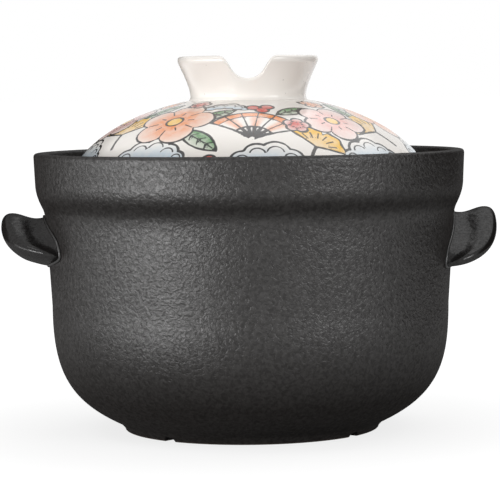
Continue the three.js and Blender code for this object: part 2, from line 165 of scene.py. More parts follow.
class EarSizes(bpy.types.PropertyGroup):
    """Sizes of the two ear handles."""

    half_angle: angle("Half angle", "Half of the root's angle, seen from above", 21.4)
    root_radius: length("Root radius", "Mean radius of the wall behind the ear", 106.2 * MM)
    reach: length("Reach", "How far the lip stands out from the root", 21.8 * MM)
    top: length("Top", "Height of the top at the root's middle", 112.6 * MM)
    bottom: length("Bottom", "Height of the underside at the root's middle", 86.8 * MM)
    lean: share("Lean", "Rise of the ear per length along its root", 0.09)
    shoulder_drop: length("Shoulder drop", "Drop of the top from the middle towards each end", 16.4 * MM)
    peak: share("Peak", "Share of the root's half length over which that drop starts", 0.12)
    end_lift: length("End lift", "How much higher the underside is at the root's ends", 2 * MM)
    tip: share("Tip", "Share of the ear's height at which the root's ends close", 0.2)
    blunt: number("Bluntness", "Power of the place along the root at which the ends close", 14)
    dish: length("Dish", "Depth of the hollow of the top", 1.8 * MM)
    dish_place: share("Dish place", "Share of the reach at which the hollow pulls the top down", 0.35)
    lip_place: share("Lip place", "Share of the reach at which the lip is highest", 0.76)
    lip_rise: length("Lip rise", "How far the lip stands above the root", 2 * MM)
    lip_drop: length("Lip drop", "How much more than the root the lip drops towards the ends", 12 * MM)
    lip_flat: share("Lip flat", "Share of the reach from which the top runs level to the lip", 0.5)
    nose_drop: share("Nose drop", "Share of the outer face's height from the lip to its furthest point", 0.27)
    nose_pull: share("Nose pull", "How far the furthest part goes on straight down", 0.31)
    bead: length("Root bead", "Half width of the bead of slip round the root", 0.9 * MM)
    hollow_radius: length("Hollow radius", "Distance of the finger hollow from the axis", 112.4 * MM)
    hollow_size: bpy.props.FloatVectorProperty(
        name="Hollow size",
        description="Half width and half length of the finger hollow, and its depth",
        default=(6.5 * MM, 15.5 * MM, 8.5 * MM),
        subtype="XYZ_LENGTH",
    )


class LidSizes(bpy.types.PropertyGroup):
    """Sizes of the lid and its vent."""

    dome_radius: length("Dome radius", "Half width of the dome's elliptical section", 97 * MM)
    dome_height: length("Dome height", "Height of the dome's elliptical section", 55 * MM)
    dome_base: length("Dome base", "Height of the ellipse's middle", 120 * MM)
    thickness: length("Thickness", "Thickness of the dome at its top", 6 * MM)
    seat: length("Seat", "Height of the brim's underside", 121.3 * MM)
    brim_radius: length("Brim radius", "Outside of the brim", 102.6 * MM)
    brim_thickness: length("Brim thickness", "Thickness of the brim", 4.6 * MM)
    brim_edge: length("Brim edge", "Rounding of the brim's upper edge", 2.4 * MM)
    brim_fillet: length("Brim fillet", "Height of the fillet between brim and dome", 3.4 * MM)
    skirt_radius: length("Skirt radius", "Outside of the skirt below the brim", 95.6 * MM)
    skirt_thickness: length("Skirt thickness", "Thickness of the skirt", 5 * MM)
    skirt_bottom: length("Skirt bottom", "Height of the skirt's lower end", 113 * MM)
    vent_radius: length("Vent radius", "Radius of the steam vent", 2.6 * MM)
    vent_distance: length("Vent distance", "Distance of the steam vent from the lid's axis", 58 * MM)
    turn: angle("Turn", "How the lid happens to sit in the gallery", -3)


class KnobSizes(bpy.types.PropertyGroup):
    """Sizes of the lid's knob."""

    top: length("Top", "Height of the knob's top", KNOB_TOP.z)
    top_radius: length("Top radius", "Outside of the knob at its top", 36.9 * MM)
    base_radius: length("Base radius", "Outside of the knob at its foot", 30.2 * MM)
    wall: length("Wall", "Thickness of the knob's wall", 6.2 * MM)
    slip: length("Slip", "Thickness of the slip between the knob and the dome", 0.3 * MM)
    fillet: length("Fillet", "Glaze gathered round the knob's foot", 1.3 * MM)
    edge: length("Edge", "Rounding of the top's two edges", 2.4 * MM)
    stem_up: length("Stem up", "Length of the flare's tangent at the foot", 4.5 * MM)
    flare_out: length("Flare out", "Outward part of the flare's tangent at the top", 3.2 * MM)
    flare_up: length("Flare up", "Upward part of the flare's tangent at the top", 7 * MM)
    upright: length("Upright", "Height of the almost upright part above the flare", 3.2 * MM)
    upright_out: length("Upright out", "How far that part leans out", 0.35 * MM)
    notch_floor: length("Notch floor", "Height of the bottom of the notch", 183.4 * MM)
    notch_radius: length("Notch radius", "Radius of the bottom of the notch", 10 * MM)
    notch_flank: angle("Notch flank", "Lean of the notch's sides from upright", 30)
    notch_lip: length("Notch lip", "Rounding of the notch's upper corners", 3.2 * MM)


class Finishes(bpy.types.PropertyGroup):
    """Colours of the glazes and of the lid's print."""

    stoneware_crown: colour("Stoneware crowns", "Black glaze on the crowns of its pebbles", "#2d2b2a")
    stoneware_hollow: colour("Stoneware hollows", "The same glaze in the hollows between them", "#201e1d")
    raw_clay: colour("Raw clay", "Unglazed standing face of the foot ring", "#4a413a")
    black_glaze: colour("Black glaze", "Glossy black glaze of the ears and the inside", "#181717")
    white_glaze: colour("White glaze", "Warm white glaze of the lid", "#f3eee8")
    ink: colour("Ink", "Outlines of the print", "#1c1b1d")
    orange: colour("Orange", "Petals and fans of the print", "#ee8a3c")
    yellow: colour("Yellow", "Ginkgo leaves and blossom middles of the print", "#f4bd22")
    blue: colour("Blue", "Clouds of the print", "#aac8dd")
    green: colour("Green", "Leaves of the print", "#4f8a4c")
    red: colour("Red", "Berries of the print", "#cf4030")
    pink: colour("Pink", "Small blossoms of the print", "#eeb4ab")


class StageSettings(bpy.types.PropertyGroup):
    """Camera and light of the stage."""

    camera_distance: length("Camera distance", "From the pot's axis, along the floor", 1261 * MM)
    camera_height: length("Camera height", "Above the floor", 179.4 * MM)
    camera_turn: angle("Camera turn", "Round the pot, towards its right from the front", -3)
    camera_pitch: angle("Camera pitch", "Downwards", 3.903)
    camera_roll: angle("Camera roll", "The picture's right side up", 0.694)
    camera_lens: bpy.props.FloatProperty(
        name="Camera lens", description="Focal length on a 36 mm sensor", default=173.3, unit="CAMERA"
    )
    floor: colour("Floor", "Paper under the pot", "#787878")
    card: colour("Card", "Dark cards beside the pot", "#101010")
    fill: share("Fill", "Strength of the room's light in the shadows", 0.34)


def pair(x, y):
    """Points of a plane from two numbers or arrays."""
    return np.stack(np.broadcast_arrays(x, y), axis=-1)


def bezier(*points, steps):
    """Bezier curve: its control points weighted by the Bernstein polynomials of an even parameter."""
    t = np.linspace(0, 1, steps + 1)[:, None]
    last = len(points) - 1
    return sum(
        math.comb(last, k) * t**k * (1 - t) ** (last - k) * np.asarray(point, float)[..., None, :]
        for k, point in enumerate(points)
    )


def ellipse(middle, half_width, half_height, start, end, steps):
    """Arc of an ellipse: middle plus the half sizes times the cosine and sine of an even angle."""
    t = np.linspace(start, end, steps + 1)
    return pair(middle[0] + half_width * np.cos(t), middle[1] + half_height * np.sin(t))


def joined(*stretches):
    """One line of points from stretches that each start where the last one ended."""
    return np.concatenate([stretches[0], *[s[..., 1:, :] for s in stretches[1:]]], axis=-2)


def revolved(profile, angles):
    """Grid of a profile carried round Z: (r cos a, r sin a, z) for each of its points and each angle."""
    radius, height = profile[..., 0], profile[..., 1]
    if profile.ndim == 2:
        radius, height = radius[:, None], height[:, None]
    return np.stack(np.broadcast_arrays(radius * np.cos(angles), radius * np.sin(angles), height), axis=-1)


def turned(points, turn):
    """Points turned about Z."""
    return points @ np.array(Matrix.Rotation(turn, 3, "Z")).T


def grid_faces(rows, columns, ring=False):
    """Corner numbers of a grid's quads. The last column joins the first and, in a ring, the last row does."""
    index = np.arange(rows * columns).reshape(rows, columns)
    index = np.concatenate([index, index[:1]]) if ring else index
    right = np.roll(index, -1, axis=1)
    return np.stack([index[:-1], right[:-1], right[1:], index[1:]], axis=-1).reshape(-1, 4)


def capped(grid):
    """Points and faces of a grid whose first and last rows are closed by a fan round their middle."""
    rows, columns, _ = grid.shape
    points = np.concatenate([grid.reshape(-1, 3), grid[[0, -1]].mean(axis=1)])
    first = np.arange(columns)
    last = first + (rows - 1) * columns
    start = np.full(columns, rows * columns)
    fans = [
        np.stack([start, np.roll(first, -1), first], axis=-1),
        np.stack([start + 1, last, np.roll(last, -1)], axis=-1),
    ]
    return points, [grid_faces(rows, columns), *fans]


def add_object(name, data):
    """An object of the scene."""
    item = bpy.data.objects.new(name, data)
    bpy.context.scene.collection.objects.link(item)
    return item


def add_mesh(name, points, faces, *materials):
    """A smooth mesh at the origin."""
    mesh = bpy.data.meshes.new(name)
    mesh.from_pydata(points.tolist(), [], [face for block in faces for face in block.tolist()])
    mesh.shade_smooth()
    for material in materials:
        mesh.materials.append(material)
    return add_object(name, mesh)


def add_piece(name, points, faces, body, slot, *materials):
    """A smooth mesh at the origin that rides on a body."""
    piece = add_mesh(name, points, faces, *materials)
    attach(piece, body)
    return piece


def add_node(tree, kind, inputs=None, **settings):
    """Adds a node. Settings go on the node, and inputs, by name or number, are values or sockets to link."""
    node = tree.nodes.new(kind)
    for name, value in settings.items():
        setattr(node, name, value)
    for key, value in (inputs or {}).items():
        if isinstance(value, bpy.types.NodeSocket):
            tree.links.new(value, node.inputs[key])
        else:
            node.inputs[key].default_value = value
    return node


def blank_material(name):
    """A material with nothing in its node tree."""
    material = bpy.data.materials.new(name)
    material.use_nodes = True
    material.node_tree.nodes.clear()
    return material


def per_mm(size):
    """Texture scale whose features are about a size in millimetres."""
    return 1 / (size * MM)


def rgba(value):
    """A colour property with full alpha, as colour sockets take it."""
    return (*value, 1)


def sheen_over(tree, base, roughness, normal, gloss):
    """Finishes a material as matt clay under a pitted black glaze, whose white sheen has the share gloss.

    A smooth glaze reflects more and more towards its outline. Small pits and pebbles keep this one from doing
    so, and its sheen is alike at any angle, apart from the little of it that is smooth and clear.
    """
    clear_share = 0.02
    matt = add_node(tree, "ShaderNodeBsdfDiffuse", {"Color": base, "Roughness": 0.8, "Normal": normal})
    clear = add_node(tree, "ShaderNodeBsdfPrincipled", {
        "Base Color": base, "Roughness": roughness, "Normal": normal, "IOR": GLAZE_IOR,
    })
    pitted = add_node(tree, "ShaderNodeBsdfAnisotropic", {
        "Color": (1, 1, 1, 1), "Roughness": roughness, "Normal": normal,
    })
    clay = add_node(tree, "ShaderNodeMixShader", {0: clear_share, 1: matt.outputs[0], 2: clear.outputs[0]})
    skin = add_node(tree, "ShaderNodeMixShader", {0: gloss, 1: clay.outputs[0], 2: pitted.outputs[0]})
    add_node(tree, "ShaderNodeOutputMaterial", {"Surface": skin.outputs[0]})


def leathery_stoneware(finish):
    """Black stoneware under a matt iron glaze that drew together in the kiln into a leathery skin.

    The eye sees a near black with a satin sheen that breaks up into small pebbles: their crowns are glossy,
    and the hollows between them are darker and matt. The pebbles keep the sheen from growing towards the
    outline, as it would on a smooth glaze. The sheen is turned down in the crease under the collar and
    towards the foot, as painted shade, and the foot ring was wiped to bare gritty clay to stand in the kiln.
    """
    material = blank_material("stoneware_black_leather_glaze")
    tree = material.node_tree
    place = add_node(tree, "ShaderNodeTexCoord").outputs["Object"]
    height = add_node(tree, "ShaderNodeSeparateXYZ", {"Vector": place}).outputs["Z"]
    # Pebbles of the drawn-up glaze, 1.9 mm across, with finer wrinkles between them.
    pebbles = add_node(tree, "ShaderNodeTexNoise", {
        "Vector": place, "Scale": per_mm(1.9), "Detail": 2.5, "Roughness": 0.6, "Distortion": 0.6,
    }).outputs["Fac"]
    crown = add_node(tree, "ShaderNodeMapRange", {
        "Value": pebbles, "From Min": 0.36, "From Max": 0.64,
    }).outputs[0]
    # Slow drift in the glaze's thickness, 22 mm across.
    drift = add_node(tree, "ShaderNodeTexNoise", {
        "Vector": place, "Scale": per_mm(22), "Detail": 3.0, "Roughness": 0.5,
    }).outputs["Fac"]
    glaze = add_node(tree, "ShaderNodeMix", {
        0: crown, 6: rgba(finish.stoneware_hollow), 7: rgba(finish.stoneware_crown),
    }, data_type="RGBA").outputs[2]
    # The wiped face of the foot ring is the lowest half millimetre.
    bare = add_node(tree, "ShaderNodeMapRange", {
        "Value": height, "From Min": 0.8 * MM, "From Max": 0.4 * MM,
    }).outputs[0]
    base = add_node(tree, "ShaderNodeMix", {
        0: bare, 6: glaze, 7: rgba(finish.raw_clay),
    }, data_type="RGBA").outputs[2]
    roughness = add_node(tree, "ShaderNodeMapRange", {
        "Value": drift, "From Min": 0.3, "From Max": 0.7, "To Min": 0.32, "To Max": 0.38,
    }).outputs[0]
    # Painted shade: the sheen fades over the round bottom, from 60 mm down to 20 mm above the table.
    shade_towards_foot = add_node(tree, "ShaderNodeMapRange", {
        "Value": height, "From Min": 20 * MM, "From Max": 60 * MM, "To Min": 0.05, "To Max": 1.0,
    }).outputs[0]
    # Painted shade: less sheen in the crease under the flare, 9 mm above and below a height of 120.5 mm.
    from_crease = add_node(tree, "ShaderNodeMath", {
        0: height, 1: 120.5 * MM,
    }, operation="SUBTRACT").outputs[0]
    off_crease = add_node(tree, "ShaderNodeMath", {0: from_crease}, operation="ABSOLUTE").outputs[0]
    shade_in_crease = add_node(tree, "ShaderNodeMapRange", {
        "Value": off_crease, "From Max": 9 * MM, "To Min": 0.25, "To Max": 1.0,
    }, interpolation_type="SMOOTHSTEP").outputs[0]
    polish = add_node(tree, "ShaderNodeMapRange", {
        "Value": crown, "To Min": 0.03, "To Max": 0.045,
    }).outputs[0]
    # Painted shade of the crease and the round bottom, taken off the sheen.
    painted_shade = add_node(tree, "ShaderNodeMath", {0: shade_in_crease, 1: shade_towards_foot}, operation="MULTIPLY").outputs[0]
    gloss = add_node(tree, "ShaderNodeMath", {0: polish, 1: painted_shade}, operation="MULTIPLY").outputs[0]
    bump = add_node(tree, "ShaderNodeBump", {
        "Strength": 1.0, "Distance": 0.5 * MM, "Height": pebbles,
    }).outputs[0]
    sheen_over(tree, base, roughness, bump, gloss)
    return material


def flowed_black_glaze(finish, name, clear, dull, gloss):
    """Black iron glaze, poured on and fired until it flowed: clear on the ears, duller on beads and inside.

    The eye sees a deep black with slightly wavy reflections, broken by dull spots where the glaze is starved.
    Clear and dull are the roughness of the glaze and of its spots, and the gloss is the share of its white
    sheen, which the spots have half of.
    """
    material = blank_material(name)
    tree = material.node_tree
    place = add_node(tree, "ShaderNodeTexCoord").outputs["Object"]
    # Waves of the flowed glaze, 5 mm long, and pinholes and dull spots about 1.2 mm across.
    waves = add_node(tree, "ShaderNodeTexNoise", {
        "Vector": place, "Scale": per_mm(5), "Detail": 2.0, "Roughness": 0.45,
    }).outputs["Fac"]
    spots = add_node(tree, "ShaderNodeTexNoise", {
        "Vector": place, "Scale": per_mm(1.2), "Detail": 3.0, "Roughness": 0.6,
    }).outputs["Fac"]
    roughness = add_node(tree, "ShaderNodeMapRange", {
        "Value": spots, "From Min": 0.35, "From Max": 0.7, "To Min": clear, "To Max": dull,
    }).outputs[0]
    shine = add_node(tree, "ShaderNodeMapRange", {
        "Value": spots, "From Min": 0.35, "From Max": 0.7, "To Min": gloss, "To Max": 0.5 * gloss,
    }).outputs[0]
    base = add_node(tree, "ShaderNodeMix", {
        0: waves, 6: rgba(finish.black_glaze), 7: rgba(finish.stoneware_hollow),
    }, data_type="RGBA").outputs[2]
    relief = add_node(tree, "ShaderNodeMath", {0: spots, 1: 0.04, 2: waves}, operation="MULTIPLY_ADD")
    bump = add_node(tree, "ShaderNodeBump", {
        "Strength": 1.0, "Distance": 0.25 * MM, "Height": relief.outputs[0],
    }).outputs[0]
    sheen_over(tree, base, roughness, bump, shine)
    return material


def white_glaze_shader(tree, base, place):
    """Puts the clear, faintly wavy glaze of the lid over a colour."""
    # Waves of the glaze, 9 mm long and hardly deep enough to see.
    waves = add_node(tree, "ShaderNodeTexNoise", {
        "Vector": place, "Scale": per_mm(9), "Detail": 2.0, "Roughness": 0.5,
    }).outputs["Fac"]
    roughness = add_node(tree, "ShaderNodeMapRange", {
        "Value": waves, "From Min": 0.3, "From Max": 0.7, "To Min": 0.17, "To Max": 0.24,
    }).outputs[0]
    bump = add_node(tree, "ShaderNodeBump", {
        "Strength": 1.0, "Distance": 0.12 * MM, "Height": waves,
    }).outputs[0]
    shader = add_node(tree, "ShaderNodeBsdfPrincipled", {
        "Base Color": base, "Roughness": roughness, "Normal": bump, "IOR": GLAZE_IOR,
    })
    add_node(tree, "ShaderNodeOutputMaterial", {"Surface": shader.outputs[0]})


def glaze_tint(tree, finish, place):
    """Colour of the white glaze: a shade greyer in drifts, with sparse iron specks from the clay."""
    # Drifts 30 mm across, and specks of 0.5 mm, about 7 mm apart, drawn at 0.8 mm so that they show.
    drift = add_node(tree, "ShaderNodeTexNoise", {
        "Vector": place, "Scale": per_mm(30), "Detail": 2.0, "Roughness": 0.5,
    }).outputs["Fac"]
    greyer = [0.93 * channel for channel in finish.white_glaze]
    warm = add_node(tree, "ShaderNodeMix", {
        0: drift, 6: rgba(finish.white_glaze), 7: rgba(greyer),
    }, data_type="RGBA").outputs[2]
    specks = add_node(tree, "ShaderNodeTexVoronoi", {
        "Vector": place, "Scale": per_mm(7),
    }).outputs["Distance"]
    speck = add_node(tree, "ShaderNodeMapRange", {
        "Value": specks, "From Min": 0.075, "From Max": 0.045, "To Max": 0.22,
    }).outputs[0]
    return add_node(tree, "ShaderNodeMix", {
        0: speck, 6: warm, 7: rgba(finish.raw_clay),
    }, data_type="RGBA").outputs[2]


def plain_white_glaze(finish):
    """Warm white tin glaze, dipped and fired to a gloss, on the knob.

    The eye sees a creamy white with soft highlights and a hint of the clay's iron.
    """
    material = blank_material("porcellaneous_white_gloss_glaze")
    tree = material.node_tree
    place = add_node(tree, "ShaderNodeTexCoord").outputs["Object"]
    white_glaze_shader(tree, glaze_tint(tree, finish, place), place)
    return material


def printed_white_glaze(finish):
    """The same white glaze with a transfer print under it, inked like brush drawings and washed with colour.

    The eye sees black outlines of uneven width, and colours that pool and thin out, all under one gloss.
    """
    material = blank_material("porcellaneous_white_gloss_glaze_printed")
    tree = material.node_tree
    place = add_node(tree, "ShaderNodeTexCoord").outputs["Object"]
    paint = glaze_tint(tree, finish, place)
    # The brush's width drifts every 6 mm, and the wash pools in patches of 5 mm. The half widths of lines,
    # 0.4 to 0.85 mm, and the soft edges of ink and wash, 0.1 to 0.15 mm, are in millimetres.
    wobble = add_node(tree, "ShaderNodeTexNoise", {
        "Vector": place, "Scale": per_mm(6), "Detail": 2.0,
    }).outputs["Fac"]
    pools = add_node(tree, "ShaderNodeTexNoise", {
        "Vector": place, "Scale": per_mm(5), "Detail": 3.0, "Roughness": 0.6,
    }).outputs["Fac"]
    wash = add_node(tree, "ShaderNodeMapRange", {
        "Value": pools, "From Min": 0.3, "From Max": 0.62, "To Min": 0.6, "To Max": 1.0,
    }).outputs[0]
    width = add_node(tree, "ShaderNodeMapRange", {
        "Value": wobble, "From Min": 0.3, "From Max": 0.7, "To Min": 0.4, "To Max": 0.85,
    }).outputs[0]
    fine_width = add_node(tree, "ShaderNodeMath", {0: width, 1: 0.6}, operation="MULTIPLY").outputs[0]
    for layer in PRINT_LAYERS:
        reach = add_node(tree, "ShaderNodeAttribute", attribute_name=f"print_{layer}").outputs["Vector"]
        tint = add_node(tree, "ShaderNodeAttribute", attribute_name=f"wash_{layer}").outputs["Color"]
        parts = add_node(tree, "ShaderNodeSeparateXYZ", {"Vector": reach}).outputs
        inside = add_node(tree, "ShaderNodeMapRange", {
            "Value": parts["X"], "From Min": 0.15, "From Max": -0.15,
        }).outputs[0]
        covered = add_node(tree, "ShaderNodeMix", {
            0: inside, 6: paint, 7: rgba(finish.white_glaze),
        }, data_type="RGBA").outputs[2]
        colour_share = add_node(tree, "ShaderNodeMath", {0: inside, 1: wash}, operation="MULTIPLY")
        coloured = add_node(tree, "ShaderNodeMix", {
            0: colour_share.outputs[0], 6: covered, 7: tint,
        }, data_type="RGBA").outputs[2]
        from_edge = add_node(tree, "ShaderNodeMath", {0: parts["X"]}, operation="ABSOLUTE").outputs[0]
        outline = add_node(tree, "ShaderNodeMath", {0: width, 1: from_edge}, operation="SUBTRACT").outputs[0]
        beside = add_node(tree, "ShaderNodeMath", {0: parts["Y"]}, operation="ABSOLUTE").outputs[0]
        across = add_node(tree, "ShaderNodeMath", {0: fine_width, 1: beside}, operation="SUBTRACT").outputs[0]
        within = add_node(tree, "ShaderNodeMath", {0: 0.0, 1: parts["Z"]}, operation="SUBTRACT").outputs[0]
        stroke = add_node(tree, "ShaderNodeMath", {0: across, 1: within}, operation="MINIMUM").outputs[0]
        drawn = add_node(tree, "ShaderNodeMath", {0: outline, 1: stroke}, operation="MAXIMUM").outputs[0]
        inked = add_node(tree, "ShaderNodeMapRange", {
            "Value": drawn, "From Min": -0.15, "From Max": 0.1, "To Max": 0.96,
        }).outputs[0]
        paint = add_node(tree, "ShaderNodeMix", {
            0: inked, 6: coloured, 7: rgba(finish.ink),
        }, data_type="RGBA").outputs[2]
    white_glaze_shader(tree, paint, place)
    return material


def wall_profile(pot):
    """Outside of the pot from the foot ring up to the rim, as radius and height.

    A short step out from the foot ring (line), a round bottom (cubic curve), an almost upright wall (line),
    the crease under the collar (cubic curve), the collar's flare (cubic curve) and the collar itself (line).
    """
    slope = np.array([math.cos(pot.base_slope), math.sin(pot.base_slope)])
    foot = (pot.foot_top, pot.foot_height)
    base = np.array([pot.base_radius, pot.base_height])
    belly = np.array([pot.belly_radius, pot.belly_height])
    neck = np.array([pot.neck_radius, pot.neck_height])
    below = neck + (belly - neck) * pot.crease_soft / (pot.neck_height - pot.belly_height)
    crease = neck + (pot.crease_out, pot.crease_rise)
    collar = np.array([pot.collar_radius, pot.collar_height])
    rim = (pot.rim_radius, pot.height - pot.rim_edge)
    return joined(
        bezier(foot, base, steps=3),
        bezier(base, base + pot.base_pull * slope, belly - (0, pot.belly_pull), belly, steps=44),
        bezier(belly, below, steps=14),
        bezier(below, neck, crease - (pot.flare_out / 3, pot.flare_up / 3), crease, steps=16),
        bezier(crease, crease + (pot.flare_out, pot.flare_up), collar - (0, pot.flare_up), collar, steps=14),
        bezier(collar, rim, steps=8),
    )


def pot_profile(pot):
    """The pot's whole section and the number of its outer rows.

    It starts under the floor, goes round the foot ring, up the outside, over the rounded rim, down the
    gallery and the inside, and ends on top of the floor.
    """
    floor = pot.foot_recess + pot.floor_thickness
    inner = pot.ledge_inner - pot.inner_taper
    corner = inner - pot.inner_corner
    pull = 0.62 * pot.inner_corner  # a little fuller than a quarter circle, whose pull is 0.55
    edge = pot.foot_edge
    under = joined(
        bezier((HUB, pot.foot_recess), (pot.foot_inner - edge, pot.foot_recess), steps=8),
        bezier((pot.foot_inner - edge, pot.foot_recess), (pot.foot_inner + edge, edge), steps=4),
        bezier((pot.foot_inner + edge, edge), (pot.foot_inner + 1.4 * edge, 0),
               (pot.foot_inner + 2 * edge, 0), steps=4),
        bezier((pot.foot_inner + 2 * edge, 0), (pot.foot_bottom - edge, 0), steps=6),
        bezier((pot.foot_bottom - edge, 0), (pot.foot_bottom, 0), (pot.foot_bottom, edge), steps=5),
        bezier((pot.foot_bottom, edge), (pot.foot_top, pot.foot_height), steps=4),
    )
    rim_in = pot.rim_radius - pot.rim_thickness
    rim_low = pot.height - pot.rim_edge
    crest_out = (pot.rim_radius - pot.rim_edge, pot.height)
    crest_in = (rim_in + pot.rim_edge, pot.height)
    over = joined(
        bezier((pot.rim_radius, rim_low), (pot.rim_radius, pot.height), crest_out, steps=7),
        bezier(crest_out, crest_in, steps=3),
        bezier(crest_in, (rim_in, pot.height), (rim_in, rim_low), steps=7),
        bezier((rim_in, rim_low), (pot.ledge_outer, pot.ledge_height + pot.ledge_edge), steps=10),
    )
    ledge_out = pot.ledge_outer - pot.ledge_edge
    ledge_in = pot.ledge_inner + pot.ledge_edge
    below_ledge = (pot.ledge_inner, pot.ledge_height - pot.ledge_edge)
    wall_end = (inner, floor + pot.inner_corner)
    inside = joined(
        bezier((pot.ledge_outer, pot.ledge_height + pot.ledge_edge), (pot.ledge_outer, pot.ledge_height),
               (ledge_out, pot.ledge_height), steps=4),
        bezier((ledge_out, pot.ledge_height), (ledge_in, pot.ledge_height), steps=4),
        bezier((ledge_in, pot.ledge_height), (pot.ledge_inner, pot.ledge_height), below_ledge, steps=4),
        bezier(below_ledge, wall_end, steps=20),
        bezier(wall_end, (inner, wall_end[1] - pull), (corner + pull, floor), (corner, floor), steps=30),
        bezier((corner, floor), (HUB, floor), steps=16),
    )
    outside = joined(under, wall_profile(pot), over)
    return joined(outside, inside), len(outside) - 1


def pot_grid(pot):
    """The pot's section carried round Z, with closer steps at the foot ring's notches.

    Slow waves, a sum of three sines of angle and height, take a little off the radius, and set in above the
    foot. An air notch lifts the foot ring to an arch, h √(1 − (t / w)²) at a distance t from its middle line.
    """
    notch_span = 0.075  # half angle of the closer steps at a notch
    set_in = 20 * MM
    profile, outer_rows = pot_profile(pot)
    notches = pot.notch_turn + np.arange(pot.notches) * 2 * math.pi / pot.notches
    close = notches[:, None] + np.linspace(-notch_span, notch_span, 29)
    even = np.arange(POT_COLUMNS) * 2 * math.pi / POT_COLUMNS
    angles = np.unique(np.round(np.concatenate([even, close.ravel()]) % (2 * math.pi), 5))
    radius, height = profile[:, :1], profile[:, 1:]
    waves = sum(np.sin(count * angles + twist * height + start) for count, twist, start in WALL_WAVES)
    share_in = (waves / len(WALL_WAVES) + 1) / 2
    radius = radius - pot.unevenness * np.clip((height - pot.foot_height) / set_in, 0, 1) * share_in
    nearest = np.abs((angles[:, None] - notches + math.pi) % (2 * math.pi) - math.pi).min(axis=1)
    across = radius * np.sin(np.minimum(nearest, math.pi / 2)) / (pot.notch_width / 2)
    arch = pot.notch_height * np.sqrt(np.clip(1 - across**2, 0, 1))
    height = np.maximum(height, arch)
    return revolved(np.stack([radius, height], axis=-1), angles), outer_rows


def shoulder(ear, along):
    """The fall √(a² + p²) − p from a rounded peak in the middle of an ear towards its ends."""
    return np.hypot(along, ear.peak) - ear.peak


def ear_heights(ear, along):
    """Heights of an ear's top and underside at places a from -1 to 1 along its root, before the ends close.

    The top falls away from its peak, the underside lifts by a², and both lean alike.
    """
    rise = ear.lean * ear.root_radius * np.sin(along * ear.half_angle)
    crown = ear.top - ear.shoulder_drop * shoulder(ear, along) + rise
    base = ear.bottom + ear.end_lift * along**2 + rise
    return crown, base


def ear_grid(ear, pot):
    """An ear handle on the +X side: sections of reach and height, carried along its root from end to end.

    At a place a from -1 to 1 along the root, the reach is R √(1 − a²) and the ends close as √(1 − |a|ᵇ).
    The section is a dished top (cubic curve), a rolled lip (quadratic curve) and an outer face that rounds
    down and back to the wall (cubic curve). Close to the wall it follows the wall's curve. For the fingertips
    the underside is lifted by D s² (3 − 2s), where s falls from 1 in the hollow's middle to 0 on the ellipse
    round it.
    """
    last_place = 0.998  # of the end sections, which are just large enough to cap
    sunk = -0.6 * MM  # how deep the root goes into the wall
    leave_wall = 8 * MM  # distance from the wall over which a section stops following it
    dish_pull = 3  # how much deeper than the dish the curve's control point lies
    top_steps, lip_steps, face_steps = 24, 16, 40
    first_under = top_steps + lip_steps + face_steps // 5 + 1
    along = last_place * np.sin(np.linspace(-math.pi / 2, math.pi / 2, EAR_SECTIONS))
    place = np.abs(along)
    ends = np.sqrt(1 - place**ear.blunt)
    swell = np.sqrt(1 - along**2)
    turn = along * ear.half_angle
    reach = ear.reach * swell + 2 * ear.bead
    crown, base = ear_heights(ear, along)
    top = base + (crown - base) * (ear.tip + (1 - ear.tip) * ends)
    bottom = base + (crown - base) * ear.tip * (1 - ends)
    lip = top + (ear.lip_rise - ear.lip_drop * shoulder(ear, along)) * swell
    nose = lip - ear.nose_drop * (lip - bottom)
    dish = ear.dish * (0.5 + place) * swell
    root_top, root_bottom = pair(sunk, top), pair(sunk, bottom)
    lip_top = pair(ear.lip_place * reach, lip)
    nose_end = pair(reach, nose - ear.nose_pull * (lip - bottom))
    section = joined(
        bezier(root_top, pair(ear.dish_place * reach, top - dish_pull * dish),
               pair(ear.lip_flat * reach, lip), lip_top, steps=top_steps),
        bezier(lip_top, pair(reach, lip), pair(reach, nose), steps=lip_steps),
        bezier(pair(reach, nose), nose_end, pair(reach / 2, bottom), root_bottom, steps=face_steps),
        bezier(root_bottom, root_top, steps=10)[:, :-1],
    )
    out, height = section[..., 0], section[..., 1]
    wall = wall_profile(pot)
    on_wall = np.interp(height, wall[:, 1], wall[:, 0])
    away = np.clip(out / leave_wall, 0, 1)
    radius = on_wall + (ear.root_radius - on_wall) * away + out
    radius = np.maximum(radius, on_wall + sunk)
    x = radius * np.cos(turn)[:, None]
    y = radius * np.sin(turn)[:, None]
    half_x, half_y, deep = ear.hollow_size
    within = np.clip(1 - ((x - ear.hollow_radius) / half_x) ** 2 - (y / half_y) ** 2, 0, 1)
    underside = np.arange(height.shape[1]) >= first_under
    height = height + np.where(underside, deep * within**2 * (3 - 2 * within), 0)
    return np.stack([x, y, height], axis=-1)


